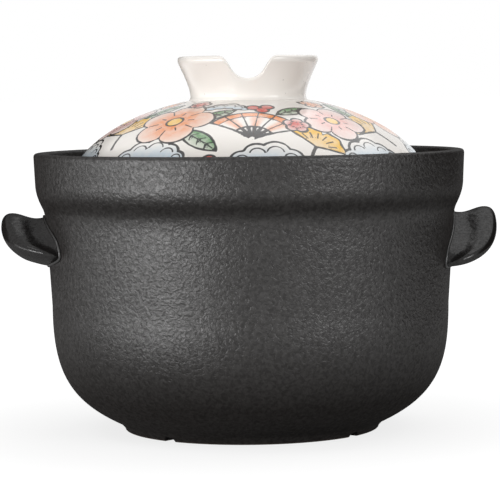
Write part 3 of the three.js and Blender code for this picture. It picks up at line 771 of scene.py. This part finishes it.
def root_bead_grid(ear, pot):
    """The bead of slip round an ear's root: a circle carried along the outline of the root on the wall.

    The outline is |a|ᵇ + e² = 1, with a along the root, and e from -1 on the underside to 1 on the top. It is
    drawn by powers of a cosine and a sine, and then spaced evenly.
    """
    outline_steps, bead_steps, ring_steps = 1200, 160, 16
    stands_out = 0.3  # distance of the circle's middle from the wall, in parts of its radius
    t = np.linspace(0, 2 * math.pi, outline_steps, endpoint=False)
    along = np.sign(np.cos(t)) * np.abs(np.cos(t)) ** (2 / ear.blunt)
    turn = along * ear.half_angle
    crown, base = ear_heights(ear, along)
    up = np.sin(t)
    height = base + (crown - base) * (ear.tip + np.where(up > 0, (1 - ear.tip) * up, ear.tip * up))
    steps = np.hypot(np.diff(turn) * ear.root_radius, np.diff(height))
    length_so_far = np.concatenate([[0], np.cumsum(steps)])
    even = np.linspace(0, length_so_far[-1], bead_steps, endpoint=False)
    turn = np.interp(even, length_so_far, turn)
    height = np.interp(even, length_so_far, height)
    forward = pair(np.roll(turn, -1) - np.roll(turn, 1), np.roll(height, -1) - np.roll(height, 1))
    forward *= (ear.root_radius, 1)
    forward /= np.linalg.norm(forward, axis=-1, keepdims=True)
    wall = wall_profile(pot)
    ring = -np.arange(ring_steps) * 2 * math.pi / ring_steps
    beside = ear.bead * np.sin(ring)
    level = height[:, None] + forward[:, :1] * beside
    around = turn[:, None] - forward[:, 1:] * beside / ear.root_radius
    radius = np.interp(level, wall[:, 1], wall[:, 0]) + ear.bead * (stands_out + np.cos(ring))
    return np.stack([radius * np.cos(around), radius * np.sin(around), level], axis=-1)


def dome_height(lid, radius):
    """Height of the dome's outside at a distance from the axis: an ellipse."""
    return lid.dome_base + lid.dome_height * np.sqrt(1 - (radius / lid.dome_radius) ** 2)


def lid_profile(lid):
    """The lid's whole section, the row of the vent inside and outside, and the first row of the dome.

    It starts under the top, goes down the inside (ellipse), round the skirt's end (half circle), along the
    brim, and up the dome (ellipse), with close steps beside the vent and where the dome is printed.
    """
    apex_steps, print_steps = 8, 58
    spread = 0.16  # half angle of the close steps beside the vent, inside
    print_top = 34 * MM  # distance from the axis at which the print's close steps end
    middle = (0, lid.dome_base)
    skirt_in = lid.skirt_radius - lid.skirt_thickness
    skirt_round = lid.skirt_thickness / 2
    low = lid.skirt_bottom + skirt_round
    brim_top = lid.seat + lid.brim_thickness
    dome_start = math.asin((brim_top + lid.brim_fillet - lid.dome_base) / lid.dome_height)
    dome_foot = ellipse(middle, lid.dome_radius, lid.dome_height, dome_start, dome_start, 1)[0]
    inner_height = lid.dome_height - lid.thickness
    inner_vent = math.acos(lid.vent_distance / skirt_in)
    inner_apex = math.acos(HUB / skirt_in)
    inner = joined(
        ellipse(middle, skirt_in, inner_height, inner_apex, inner_vent + spread, apex_steps),
        ellipse(middle, skirt_in, inner_height, inner_vent + spread, inner_vent - spread, 2 * VENT_REACH),
        ellipse(middle, skirt_in, inner_height, inner_vent - spread, 0, 12),
    )
    rim = joined(
        bezier((skirt_in, lid.dome_base), (skirt_in, low), steps=3),
        ellipse((skirt_in + skirt_round, low), skirt_round, skirt_round, math.pi, 2 * math.pi, 8),
        bezier((lid.skirt_radius, low), (lid.skirt_radius, lid.seat), steps=3),
        bezier((lid.skirt_radius, lid.seat), (lid.brim_radius - lid.brim_edge / 2, lid.seat), steps=3),
        bezier((lid.brim_radius - lid.brim_edge / 2, lid.seat), (lid.brim_radius, lid.seat),
               (lid.brim_radius, lid.seat + lid.brim_thickness / 2), steps=4),
        bezier((lid.brim_radius, lid.seat + lid.brim_thickness / 2), (lid.brim_radius, brim_top),
               (lid.brim_radius - lid.brim_edge, brim_top), steps=5),
        bezier((lid.brim_radius - lid.brim_edge, brim_top), (lid.dome_radius, brim_top), dome_foot, steps=6),
    )
    outer_vent = math.acos(lid.vent_distance / lid.dome_radius)
    print_end = math.acos(print_top / lid.dome_radius)
    apex = math.acos(HUB / lid.dome_radius)
    below = ellipse(middle, lid.dome_radius, lid.dome_height, dome_start, outer_vent, print_steps)
    above = ellipse(middle, lid.dome_radius, lid.dome_height, outer_vent, print_end, 30)
    crown = ellipse(middle, lid.dome_radius, lid.dome_height, print_end, apex, 9)
    inner_row = apex_steps + VENT_REACH
    dome_row = len(inner) + len(rim) - 2
    return joined(inner, rim, below, above, crown), inner_row, dome_row + print_steps, dome_row


def lid_surface(lid):
    """Points and faces of the lid with its steam vent, and the number of points under the dome's print.

    The section is carried round Z. Around the vent the grid bends: a square of grid steps becomes a circle,
    by moving each point from its square ring to the circle of the same size, less and less further out. The
    square of quads inside is left out, and rings of points lead from the outer circle to the inner one, as
    a mix of the two drawn in towards their middle by 1 − (2t − 1)⁴.
    """
    lip = 0.7 * MM  # rounding of the vent's two mouths
    tube_rings = 9
    profile, inner_row, outer_row, dome_row = lid_profile(lid)
    rows = np.arange(len(profile), dtype=float)
    columns = np.arange(LID_COLUMNS, dtype=float)
    row, column = np.meshgrid(rows, columns, indexing="ij")
    middle_column = LID_COLUMNS // 4
    step_round = 2 * math.pi / LID_COLUMNS
    mouth = lid.vent_radius + lip
    keep = np.ones((len(rows) - 1, LID_COLUMNS), bool)
    loops = []
    # Row numbers grow downwards inside and upwards outside.
    for vent_row, upwards in ((inner_row, -1), (outer_row, 1)):
        up = np.arange(len(rows))[:, None] - vent_row
        over = np.arange(LID_COLUMNS)[None] - middle_column
        ring = np.maximum(np.abs(up), np.abs(over)) / VENT_BLOCK
        step_up = np.linalg.norm(profile[vent_row + 1] - profile[vent_row - 1]) / 2
        step_over = step_round * lid.vent_distance
        far = np.maximum(np.hypot(up, over), 1e-9)
        fade = np.clip((VENT_REACH / VENT_BLOCK - ring) / (VENT_REACH / VENT_BLOCK - 1), 0, 1)
        fade = fade * fade * (3 - 2 * fade)
        row += fade * (mouth * ring * up / far / step_up - up)
        column += fade * (mouth * ring * over / far / step_over - over)
        block = np.arange(-VENT_BLOCK, VENT_BLOCK)
        keep[np.ix_(vent_row + block, middle_column + block)] = False
        side = np.arange(2 * VENT_BLOCK)
        ends = np.full(2 * VENT_BLOCK, VENT_BLOCK)
        ring_up = np.concatenate([-ends, side - VENT_BLOCK, ends, VENT_BLOCK - side])
        ring_over = np.concatenate([side - VENT_BLOCK, ends, VENT_BLOCK - side, -ends])
        loops.append((vent_row + upwards * ring_up) * LID_COLUMNS + middle_column + ring_over)
    section = np.stack([np.interp(row, rows, profile[:, k]) for k in range(2)], axis=-1)
    points, (quads, *fans) = capped(revolved(section, column * step_round))
    quads = quads[keep.ravel()]
    inner_loop, outer_loop = loops
    t = np.linspace(0, 1, tube_rings + 2)[1:-1, None, None]
    mix = points[outer_loop] * (1 - t) + points[inner_loop] * t
    centre = mix.mean(axis=1, keepdims=True)
    drawn = 1 - (2 * t - 1) ** 4
    tube = centre + (mix - centre) * (1 - drawn * lip / mouth)
    first = len(points)
    count = len(outer_loop)
    rings = np.concatenate([
        outer_loop[None],
        first + np.arange(tube_rings * count).reshape(tube_rings, count),
        inner_loop[None],
    ])
    beside = np.roll(rings, -1, axis=1)
    walls = np.stack([rings[:-1], beside[:-1], beside[1:], rings[1:]], axis=-1).reshape(-1, 4)
    points = np.concatenate([points, tube.reshape(-1, 3)])
    return points, [quads, *fans, walls], dome_row * LID_COLUMNS


def notch_outline(knob, across):
    """Height of the knob's top at a distance from the notch's middle.

    A round bottom (circle), straight flanks that touch it, and lips (circles) that roll into the flat top.
    """
    lean = knob.notch_flank
    across = np.abs(across)
    middle = knob.notch_floor + knob.notch_radius
    lip_height = knob.top - knob.notch_lip
    lip = knob.notch_radius + knob.notch_lip + (lip_height - middle) * math.sin(lean)
    lip /= math.cos(lean)
    flank_start = knob.notch_radius * math.cos(lean)
    flank_end = lip - knob.notch_lip * math.cos(lean)
    flank = middle - knob.notch_radius * math.sin(lean) + (across - flank_start) / math.tan(lean)
    bottom = middle - np.sqrt(np.maximum(knob.notch_radius**2 - across**2, 0))
    rolled = lip_height + np.sqrt(np.maximum(knob.notch_lip**2 - (across - lip) ** 2, 0))
    ends = [across < flank_start, across < flank_end, across < lip]
    return np.select(ends, [bottom, flank, rolled], knob.top)


def knob_grid(knob, lid):
    """The knob: a flared ring whose section is carried round Z and ends at the height of the notch.

    Both sides are cubic curves of radius over height. At each angle the outer and inner heights are found by
    putting the radius at the last height into the notch's outline, a few times over. The edges of the top
    are quadratic curves.
    """
    sunk = 0.5 * MM  # how deep the foot goes into the dome
    rounds = 6
    angles = np.arange(KNOB_COLUMNS) * 2 * math.pi / KNOB_COLUMNS
    inner = knob.base_radius - knob.wall
    flare_height = knob.top - knob.upright
    stem = dome_height(lid, knob.base_radius) + knob.slip + knob.fillet
    foot = knob.base_radius + knob.fillet
    flare = np.array([knob.flare_out, knob.flare_up])
    lean_out = np.array([knob.upright_out, knob.upright])
    top_radii = (knob.top_radius, knob.top_radius - knob.wall)
    tops = [np.array([radius - knob.upright_out, flare_height]) for radius in top_radii]
    outer_side = joined(
        bezier((foot, dome_height(lid, foot) - sunk), (foot, dome_height(lid, foot)), steps=1),
        bezier((foot, dome_height(lid, foot)), (knob.base_radius, stem - knob.fillet),
               (knob.base_radius, stem), steps=6),
        bezier((knob.base_radius, stem), (knob.base_radius, stem + knob.stem_up), tops[0] - flare, tops[0],
               steps=24),
        bezier(tops[0], tops[0] + lean_out, steps=4),
    )
    inner_side = joined(
        bezier((inner, dome_height(lid, inner) - sunk), (inner, stem), steps=4),
        bezier((inner, stem), (inner, stem + knob.stem_up), tops[1] - flare, tops[1], steps=24),
        bezier(tops[1], tops[1] + lean_out, steps=4),
    )
    heights, sides = [], []
    for side in (outer_side, inner_side):
        height = np.full(len(angles), knob.top)
        for _ in range(rounds):
            height = notch_outline(knob, np.interp(height, side[:, 1], side[:, 0]) * np.cos(angles))
        heights.append(height)
        share_up = np.linspace(0, 1, 27) ** 0.9
        level = side[0, 1] + (height - knob.edge - side[0, 1])[:, None] * share_up
        sides.append(pair(np.interp(level, side[:, 1], side[:, 0]), level))
    corner_out = pair(np.interp(heights[0], outer_side[:, 1], outer_side[:, 0]), heights[0])
    corner_in = pair(np.interp(heights[1], inner_side[:, 1], inner_side[:, 0]), heights[1])
    across = (corner_in - corner_out) / (corner_out - corner_in)[:, :1] * knob.edge
    start, end = corner_out + across, corner_in - across
    up, down = sides[0], sides[1][:, ::-1]
    section = joined(
        up,
        bezier(up[:, -1], corner_out, start, steps=8),
        bezier(start, end, steps=3),
        bezier(end, corner_in, down[:, 0], steps=8),
        down,
        bezier(down[:, -1], up[:, 0], steps=3)[:, :-1],
    )
    return revolved(section.transpose(1, 0, 2), angles)


# Middle and radius of each disc of a cloud, in parts of the cloud's size.
CLOUD_DISCS = np.array([
    (-1.0, -0.12, 0.42),
    (-0.45, 0.16, 0.5),
    (0.2, 0.24, 0.55),
    (0.75, 0.0, 0.46),
    (1.2, -0.2, 0.3),
])


def stroke_of(along, beside, start, end):
    """A straight stroke: the distance beside it, with its side's sign, and the distance beyond its ends."""
    return beside, np.maximum(start - along, along - end)


def nearest_stroke(*strokes):
    """Of several strokes, at each point the one that the point lies least far beside and beyond."""
    gaps = [np.maximum(np.abs(beside), beyond) for beside, beyond in strokes]
    best = np.argmin(gaps, axis=0)
    return tuple(np.choose(best, [stroke[k] for stroke in strokes]) for k in range(2))


def draw_blossom(u, v, size):
    """Five round petals: the edge lies at size (0.68 + 0.32 |cos 2.5a|^0.6), with creases and stamens."""
    r, a = np.hypot(u, v), np.arctan2(v, u)
    edge = 0.9 * (r - size * (0.68 + 0.32 * np.abs(np.cos(2.5 * a)) ** 0.6))
    fifth = 2 * math.pi / 5
    from_petal = (a + fifth / 2) % fifth - fifth / 2
    from_crease = a % fifth - fifth / 2
    stroke = nearest_stroke(
        stroke_of(r * np.cos(from_crease), r * np.sin(from_crease), 0.42 * size, 0.68 * size),
        stroke_of(r * np.cos(from_petal), r * np.sin(from_petal), 0.34 * size, 0.5 * size),
    )
    return edge, *stroke, np.clip(1.5 - 1.3 * r / size, 0.15, 1)


def draw_disc(u, v, size):
    """A disc without strokes."""
    r = np.hypot(u, v)
    return r - size, np.full_like(r, CLEAR_OF_PRINT), np.full_like(r, CLEAR_OF_PRINT), np.ones_like(r)


def draw_leaf(u, v, size):
    """A pointed leaf: where two circles overlap, with a midrib and side veins that slant along it."""
    half = 0.38 * size
    bow = (size**2 + half**2) / (2 * half)
    edge = np.hypot(u, np.abs(v) + bow - half) - bow
    period = 0.42 * size
    slant = (u - 0.8 * np.abs(v) + period / 2) % period - period / 2
    stroke = nearest_stroke(
        stroke_of(u, v, -1.25 * size, 0.8 * size),
        stroke_of(np.abs(v), 0.78 * slant, 0, 0.62 * half),
    )
    return edge, *stroke, np.clip(0.75 + 0.5 * v / half, 0.3, 1)


def draw_ginkgo(u, v, size):
    """A ginkgo leaf: a fan of 140 degrees with a wavy edge, a cleft in the middle, ribs and a stalk."""
    r, a = np.hypot(u, v), np.arctan2(u, v)
    wave = 1 + 0.035 * np.cos(11 * a) - 0.3 * np.exp(-((a / 0.1) ** 2))
    flank = r * np.sin(np.clip(np.abs(a) - 1.22, -1.2, 1.5)) - 0.04 * size
    leaf = np.maximum(0.9 * (r - size * wave), flank)
    stalk_side, stalk_end = stroke_of(-v, u - 0.12 * v**2 / size, 0, 0.75 * size)
    stalk = np.hypot(stalk_side, np.maximum(stalk_end, 0))
    rib = 2.44 / 6
    from_rib = a % rib - rib / 2
    ribs = stroke_of(r * np.cos(from_rib), r * np.sin(from_rib), 0.42 * size, 0.74 * size)
    return np.minimum(leaf, stalk - 0.3), *ribs, np.clip(0.5 + 0.6 * r / size, 0, 1)


def draw_cloud(u, v, size):
    """A cloud: five discs in a row, each of a middle and a radius, with an arc drawn in each."""
    x, y, radius = size * CLOUD_DISCS.T
    r = np.hypot(u[:, None] - x, v[:, None] - y)
    edge = (r - radius).min(axis=1)
    beside = r - 0.55 * radius
    beyond = y + 0.1 * radius - v[:, None]
    nearest = np.argmin(np.maximum(np.abs(beside), beyond), axis=1)[:, None]
    arc = [np.take_along_axis(part, nearest, axis=1)[:, 0] for part in (beside, beyond)]
    return edge, *arc, np.clip(0.55 - 0.9 * v / size, 0.05, 1)


def draw_fan(u, v, size):
    """A folding fan: a sector of 117 degrees between two radii, with a border, and sticks that meet below."""
    v = v + 0.6 * size
    r, a = np.hypot(u, v), np.arctan2(u, v)
    side = r * np.sin(np.clip(np.abs(a) - 1.02, -1.5, 1.5))
    leaf = np.maximum(np.maximum(r - 1.25 * size, 0.5 * size - r), side)
    rib = 2.04 / 6
    from_rib = (a + rib / 2) % rib - rib / 2
    stick = stroke_of(r * np.cos(from_rib), r * np.sin(from_rib), 0.1 * size, 1.25 * size)
    opened = np.maximum(stick[1], side - 0.5)
    border = stroke_of(r, r - 1.02 * size, 0, 2 * size)
    stroke = nearest_stroke((stick[0], opened), border)
    below = np.hypot(stick[0], np.maximum(opened, 0)) - 0.35
    sticks = np.where(r < 0.55 * size, below, CLEAR_OF_PRINT)
    edge = np.minimum(leaf, sticks)
    return edge, *stroke, np.where(r > 1.02 * size, 1.0, np.clip(0.25 + 0.5 * np.cos(9 * a), 0, 1))


# One third of the print: drawing, layer, angle from the third's middle in degrees, distance from the axis,
# turn in degrees, size in millimetres and colour.
PRINT_THIRD = [
    (draw_cloud, "back", -36, 85, 5, 14, "blue"),
    (draw_cloud, "back", 7, 87, -4, 14, "blue"),
    (draw_cloud, "back", 45, 86, 3, 13, "blue"),
    (draw_cloud, "back", -14, 45, 0, 8, "blue"),
    (draw_ginkgo, "back", -60, 74, 20, 17, "yellow"),
    (draw_leaf, "back", -57, 52, 70, 12, "green"),
    (draw_leaf, "back", -19, 77, -35, 14, "green"),
    (draw_leaf, "back", -17, 56, 40, 11, "green"),
    (draw_leaf, "back", 25, 52, 20, 11, "green"),
    (draw_ginkgo, "back", 24, 82, -38, 15, "yellow"),
    (draw_fan, "middle", 3, 66, -10, 21, "orange"),
    (draw_blossom, "middle", -36, 63, 18, 21, "orange"),
    (draw_disc, "front", -36, 63, 0, 4.4, "yellow"),
    (draw_blossom, "middle", 41, 64, 50, 18, "pink"),
    (draw_disc, "front", 41, 64, 0, 3.8, "yellow"),
    (draw_disc, "front", 3, 46, 0, 3.4, "red"),
    (draw_disc, "front", 8, 50, 0, 3.4, "red"),
    (draw_disc, "front", 12, 45.5, 0, 3.4, "red"),
    (draw_blossom, "front", -37, 40.5, 10, 6, "red"),
    (draw_blossom, "front", 21, 67, 0, 7, "red"),
    (draw_disc, "front", -13, 88, 0, 3.6, "red"),
    (draw_disc, "front", -17, 90, 0, 3.6, "red"),
    (draw_blossom, "front", 50, 42, 0, 7, "orange"),
]
PRINT_FRONT = -math.pi / 2  # the third that faces the front


def print_layers(lid, finish, points):
    """The print, as values at the lid's points: distances in millimetres and a wash for each layer.

    A drawing lies in the plane that touches the dome at its place. There u runs round the lid and v up the
    dome, and the drawing gives the distance to its edge (negative inside), the distances beside and beyond
    its strokes, and the strength of its colour. Where drawings of a layer meet, the one whose edge is nearer
    counts. Halfway between two strokes the side changes its sign, so that more than a millimetre beside a
    stroke counts as beyond it.
    """
    layers = {
        name: [np.full((len(points), 3), CLEAR_OF_PRINT), np.ones((len(points), 4))]
        for name in PRINT_LAYERS
    }
    white = np.array(finish.white_glaze)
    for third in range(3):
        for draw, layer, place, distance, turn, size, name in PRINT_THIRD:
            around = PRINT_FRONT + third * 2 * math.pi / 3 + math.radians(place)
            out = np.array([math.cos(around), math.sin(around), 0])
            share_out = distance * MM / lid.dome_radius
            fall = lid.dome_height / lid.dome_radius * share_out / math.sqrt(1 - share_out**2)
            sideways = np.array([-math.sin(around), math.cos(around), 0])
            upwards = (np.array([0, 0, fall]) - out) / math.hypot(1, fall)
            centre = out * distance * MM + (0, 0, dome_height(lid, distance * MM))
            near = (points - centre) / MM
            spin = math.radians(turn)
            u = near @ (sideways * math.cos(spin) + upwards * math.sin(spin))
            v = near @ (upwards * math.cos(spin) - sideways * math.sin(spin))
            edge, beside, beyond, tone = draw(u, v, size)
            reach, wash = layers[layer]
            nearer = edge < reach[:, 0]
            beyond = np.max([beyond, edge - STROKE_OVERRUN, np.abs(beside) - STROKE_REACH], axis=0)
            reach[nearer] = np.stack([edge, beside, beyond], axis=-1)[nearer]
            tint = white + (np.array(getattr(finish, name)) - white) * tone[:, None]
            wash[nearer, :3] = tint[nearer]
    return layers


def put_print(mesh, layers, first):
    """Stores the print's layers on a mesh as attributes. Points before the first are kept clear of it."""
    for name, (reach, wash) in layers.items():
        reach[:first] = CLEAR_OF_PRINT
        distance = mesh.attributes.new(f"print_{name}", "FLOAT_VECTOR", "POINT")
        distance.data.foreach_set("vector", reach.astype(np.float32).ravel())
        tint = mesh.attributes.new(f"wash_{name}", "FLOAT_COLOR", "POINT")
        tint.data.foreach_set("color", wash.astype(np.float32).ravel())


class DONABE_OT_pot_body(bpy.types.Operator):
    """Builds the pot: one thick revolved wall with a collar, a gallery for the lid and a notched foot ring"""

    bl_idname = "donabe.pot_body"
    bl_label = "Build pot body"

    def execute(self, context):
        scene = context.scene
        grid, outer_rows = pot_grid(scene.donabe_pot)
        points, faces = capped(grid)
        piece = add_piece(
            "pot_shell", points, faces, "pot", "black_stoneware",
            leathery_stoneware(scene.donabe_finishes),
            flowed_black_glaze(
                scene.donabe_finishes, "stoneware_black_inside_glaze", clear=0.24, dull=0.4, gloss=0.04
            ),
        )
        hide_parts("pot_body")
        rows, columns, _ = grid.shape
        inside = np.repeat(np.arange(rows - 1) >= outer_rows, columns)
        slots = np.concatenate([inside, np.zeros(columns, bool), np.ones(columns, bool)])
        piece.data.polygons.foreach_set("material_index", slots.astype(np.int32))
        return {"FINISHED"}


class DONABE_OT_ear_handles(bpy.types.Operator):
    """Builds the two ear handles: dished ears with a rolled lip, luted to the wall with a bead of slip"""

    bl_idname = "donabe.ear_handles"
    bl_label = "Build ear handles"

    def execute(self, context):
        scene = context.scene
        grid = ear_grid(scene.donabe_ears, scene.donabe_pot)
        bead = root_bead_grid(scene.donabe_ears, scene.donabe_pot)
        glaze = flowed_black_glaze(
            scene.donabe_finishes, "stoneware_black_flowed_glaze", clear=0.16, dull=0.28, gloss=0.032
        )
        slip = flowed_black_glaze(
            scene.donabe_finishes, "stoneware_black_satin_slip", clear=0.3, dull=0.4, gloss=0.07
        )
        bead_faces = [grid_faces(*bead.shape[:2], ring=True)]
        for name, turn in (("right", 0), ("left", math.pi)):
            points, faces = capped(turned(grid, turn))
            ear = add_piece(f"{name}_ear", points, faces, "pot", "black_handle_glaze", glaze)
            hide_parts(f"{name}_handle")
            add_piece(
                f"{name}_root_bead", turned(bead, turn).reshape(-1, 3), bead_faces,
                "pot", "black_handle_glaze", slip,
            )
        return {"FINISHED"}


class DONABE_OT_lid(bpy.types.Operator):
    """Builds the lid: a printed dome with a brim, a skirt and a steam vent at the back"""

    bl_idname = "donabe.lid"
    bl_label = "Build lid"

    def execute(self, context):
        scene = context.scene
        lid = scene.donabe_lid
        points, faces, first = lid_surface(lid)
        piece = add_piece(
            "lid_dome", turned(points, lid.turn), faces, "lifting_lid", "white_lid_glaze",
            printed_white_glaze(scene.donabe_finishes),
        )
        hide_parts("lid")
        put_print(piece.data, print_layers(lid, scene.donabe_finishes, points), first)
        return {"FINISHED"}


class DONABE_OT_lid_knob(bpy.types.Operator):
    """Builds the knob: a flared ring with a notch across it, luted to the top of the lid"""

    bl_idname = "donabe.lid_knob"
    bl_label = "Build lid knob"

    def execute(self, context):
        scene = context.scene
        grid = knob_grid(scene.donabe_knob, scene.donabe_lid)
        rows, columns, _ = grid.shape
        piece = add_piece(
            "lid_knob_ring", turned(grid.reshape(-1, 3), scene.donabe_lid.turn),
            [grid_faces(rows, columns, ring=True)], "lifting_lid", "white_lid_glaze",
            plain_white_glaze(scene.donabe_finishes),
        )
        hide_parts("lid_knob")
        return {"FINISHED"}


LAMP_AIM = Vector((0, 0, 100 * MM))  # the middle of the pot
# Each soft lamp's name, degrees to the right of the front and upwards, metres away, metres wide and high, and
# watts. The key draws the sheen left of the middle, and the side lamp the one on the left ear. The front lamp
# lights the right side, and the wide top lamp and the left one light the lid with hardly a reflection.
LAMPS = (
    ("key_softbox", -50, -0.6, 0.9, (0.74, 0.18), 5.2),
    ("front_softbox", 44, 15, 1.6, (0.8, 0.5), 10),
    ("side_softbox", -88, 2, 1.0, (0.45, 0.18), 1.2),
    ("left_softbox", -70, 55, 1.2, (0.5, 0.4), 1.6),
    ("top_softbox", 138, 60, 1.2, (1.3, 1.0), 5.5),
)
# Each dark card's name, degrees to the right of the front, and metres wide.
CARDS = (("right_card", 112, 0.9), ("left_card", -145, 0.7))


def add_softbox(name, azimuth, elevation, distance, size, power):
    """A rectangular lamp at a direction from the pot, turned to face it."""
    lamp = bpy.data.lights.new(name, "AREA")
    lamp.shape = "RECTANGLE"
    lamp.size, lamp.size_y = size
    lamp.energy = power
    softbox = add_object(name, lamp)
    a, e = math.radians(azimuth), math.radians(elevation)
    back = Vector((math.sin(a) * math.cos(e), -math.cos(a) * math.cos(e), math.sin(e)))
    softbox.location = LAMP_AIM + back * distance
    softbox.rotation_euler = back.to_track_quat("Z", "Y").to_euler()


def seen_directly(tree):
    """1 for rays that show the background as a picture: from the camera, a reflection or clear glass."""
    ray = add_node(tree, "ShaderNodeLightPath").outputs
    seen = add_node(tree, "ShaderNodeMath", {
        0: ray["Is Camera Ray"], 1: ray["Is Glossy Ray"],
    }, operation="MAXIMUM").outputs[0]
    return add_node(tree, "ShaderNodeMath", {
        0: seen, 1: ray["Is Transmission Ray"],
    }, operation="MAXIMUM").outputs[0]


def white_paper(stage):
    """Matt paper that looks white however little light falls on it, with a painted shadow close to the pot.

    The paper itself is grey and takes the pot's shadow. Where it is seen directly it glows up to white.
    """
    material = blank_material("white_paper")
    tree = material.node_tree
    place = add_node(tree, "ShaderNodeTexCoord").outputs["Object"]
    away = add_node(tree, "ShaderNodeVectorMath", {0: place}, operation="LENGTH").outputs["Value"]
    # Painted shadow: the glow rises from 0.8 at 70 mm from the pot's axis to full white at 300 mm.
    glow_with_painted_shadow = add_node(tree, "ShaderNodeMapRange", {
        "Value": away, "From Min": 70 * MM, "From Max": 300 * MM, "To Min": 0.8, "To Max": 1.0,
    }).outputs[0]
    strength = add_node(tree, "ShaderNodeMath", {0: glow_with_painted_shadow, 1: seen_directly(tree)}, operation="MULTIPLY")
    paper = add_node(tree, "ShaderNodeBsdfDiffuse", {"Color": rgba(stage.floor)})
    light = add_node(tree, "ShaderNodeEmission", {"Strength": strength.outputs[0]})
    both = add_node(tree, "ShaderNodeAddShader", {0: paper.outputs[0], 1: light.outputs[0]})
    add_node(tree, "ShaderNodeOutputMaterial", {"Surface": both.outputs[0]})
    return material


def add_floor(stage):
    """A round floor of paper, far wider than the picture."""
    hub, radius, sides = 0.02, 30, 64
    disc = revolved(bezier((hub, 0), (radius, 0), steps=40), np.arange(sides) * 2 * math.pi / sides)
    points, (quads, middle, _) = capped(disc)
    floor = add_mesh("floor", points, [quads, middle], white_paper(stage))


def black_card(stage):
    """Matt black card, which gives back hardly any light."""
    material = blank_material("black_card")
    tree = material.node_tree
    card = add_node(tree, "ShaderNodeBsdfDiffuse", {"Color": rgba(stage.card)})
    add_node(tree, "ShaderNodeOutputMaterial", {"Surface": card.outputs[0]})
    return material


def add_card(name, azimuth, width, material):
    """A card that stands on the floor beside the pot, so that the glazes have something dark to reflect.

    The camera sees past it.
    """
    distance, height = 0.75, 0.5
    a = math.radians(azimuth)
    out = distance * np.array([math.sin(a), -math.cos(a), 0])
    side = width / 2 * np.array([math.cos(a), math.sin(a), 0])
    up = np.array([0, 0, height])
    corners = np.array([out - side, out + side, out + side + up, out - side + up])
    card = add_mesh(name, corners, [np.array([[0, 1, 2, 3]])], material)
    card.visible_camera = False


def add_world(stage):
    """A white room: white where it is seen directly, and dimmer as the light that fills the shadows."""
    world = bpy.data.worlds.new("studio")
    bpy.context.scene.world = world
    world.use_nodes = True
    tree = world.node_tree
    tree.nodes.clear()
    strength = add_node(tree, "ShaderNodeMapRange", {
        "Value": seen_directly(tree), "To Min": stage.fill, "To Max": 1.0,
    })
    sky = add_node(tree, "ShaderNodeBackground", {"Color": (1, 1, 1, 1), "Strength": strength.outputs[0]})
    add_node(tree, "ShaderNodeOutputWorld", {"Surface": sky.outputs[0]})


def add_camera(stage):
    """The camera that sees the pot as the photograph does."""
    camera = add_object("camera", bpy.data.cameras.new("camera"))
    bpy.context.scene.camera = camera
    camera.data.lens = stage.camera_lens
    turn = stage.camera_turn
    camera.location = (
        math.sin(turn) * stage.camera_distance,
        -math.cos(turn) * stage.camera_distance,
        stage.camera_height,
    )
    facing = Matrix.Rotation(turn, 4, "Z") @ Matrix.Rotation(math.pi / 2 - stage.camera_pitch, 4, "X")
    camera.rotation_euler = (facing @ Matrix.Rotation(-stage.camera_roll, 4, "Z")).to_euler()


class DONABE_OT_stage(bpy.types.Operator):
    """Builds the stage: a white floor and room, soft lamps, dark cards and the camera"""

    bl_idname = "donabe.stage"
    bl_label = "Build stage"

    def execute(self, context):
        stage = context.scene.donabe_stage
        add_floor(stage)
        add_world(stage)
        for lamp in LAMPS:
            add_softbox(*lamp)
        black = black_card(stage)
        for card in CARDS:
            add_card(*card, black)
        add_camera(stage)
        context.scene.view_settings.view_transform = "Standard"
        return {"FINISHED"}


OPERATORS = (
    DONABE_OT_pot_body,
    DONABE_OT_ear_handles,
    DONABE_OT_lid,
    DONABE_OT_lid_knob,
    DONABE_OT_stage,
)
SETTINGS = {
    "donabe_pot": PotSizes,
    "donabe_ears": EarSizes,
    "donabe_lid": LidSizes,
    "donabe_knob": KnobSizes,
    "donabe_finishes": Finishes,
    "donabe_stage": StageSettings,
}


class DONABE_PT_panel(bpy.types.Panel):
    """Lists the donabe's pieces and their sizes"""

    bl_idname = "DONABE_PT_panel"
    bl_label = "Donabe"
    bl_space_type = "VIEW_3D"
    bl_region_type = "UI"
    bl_category = "Donabe"

    def draw(self, context):
        for operator in OPERATORS:
            self.layout.operator(operator.bl_idname)
        for name, group in SETTINGS.items():
            box = self.layout.box()
            box.label(text=group.__doc__)
            for key in group.__annotations__:
                box.prop(getattr(context.scene, name), key)


def register():
    for group in SETTINGS.values():
        bpy.utils.register_class(group)
    for name, group in SETTINGS.items():
        setattr(bpy.types.Scene, name, bpy.props.PointerProperty(type=group))
    for kind in (*OPERATORS, DONABE_PT_panel):
        bpy.utils.register_class(kind)


def unregister():
    for kind in (DONABE_PT_panel, *reversed(OPERATORS)):
        bpy.utils.unregister_class(kind)
    for name in SETTINGS:
        delattr(bpy.types.Scene, name)
    for group in reversed(SETTINGS.values()):
        bpy.utils.unregister_class(group)


def main():
    register()
    bpy.ops.donabe.pot_body()
    bpy.ops.donabe.ear_handles()
    bpy.ops.donabe.lid()
    bpy.ops.donabe.lid_knob()
    bpy.ops.donabe.stage()


if __name__ == "__main__":
    main()
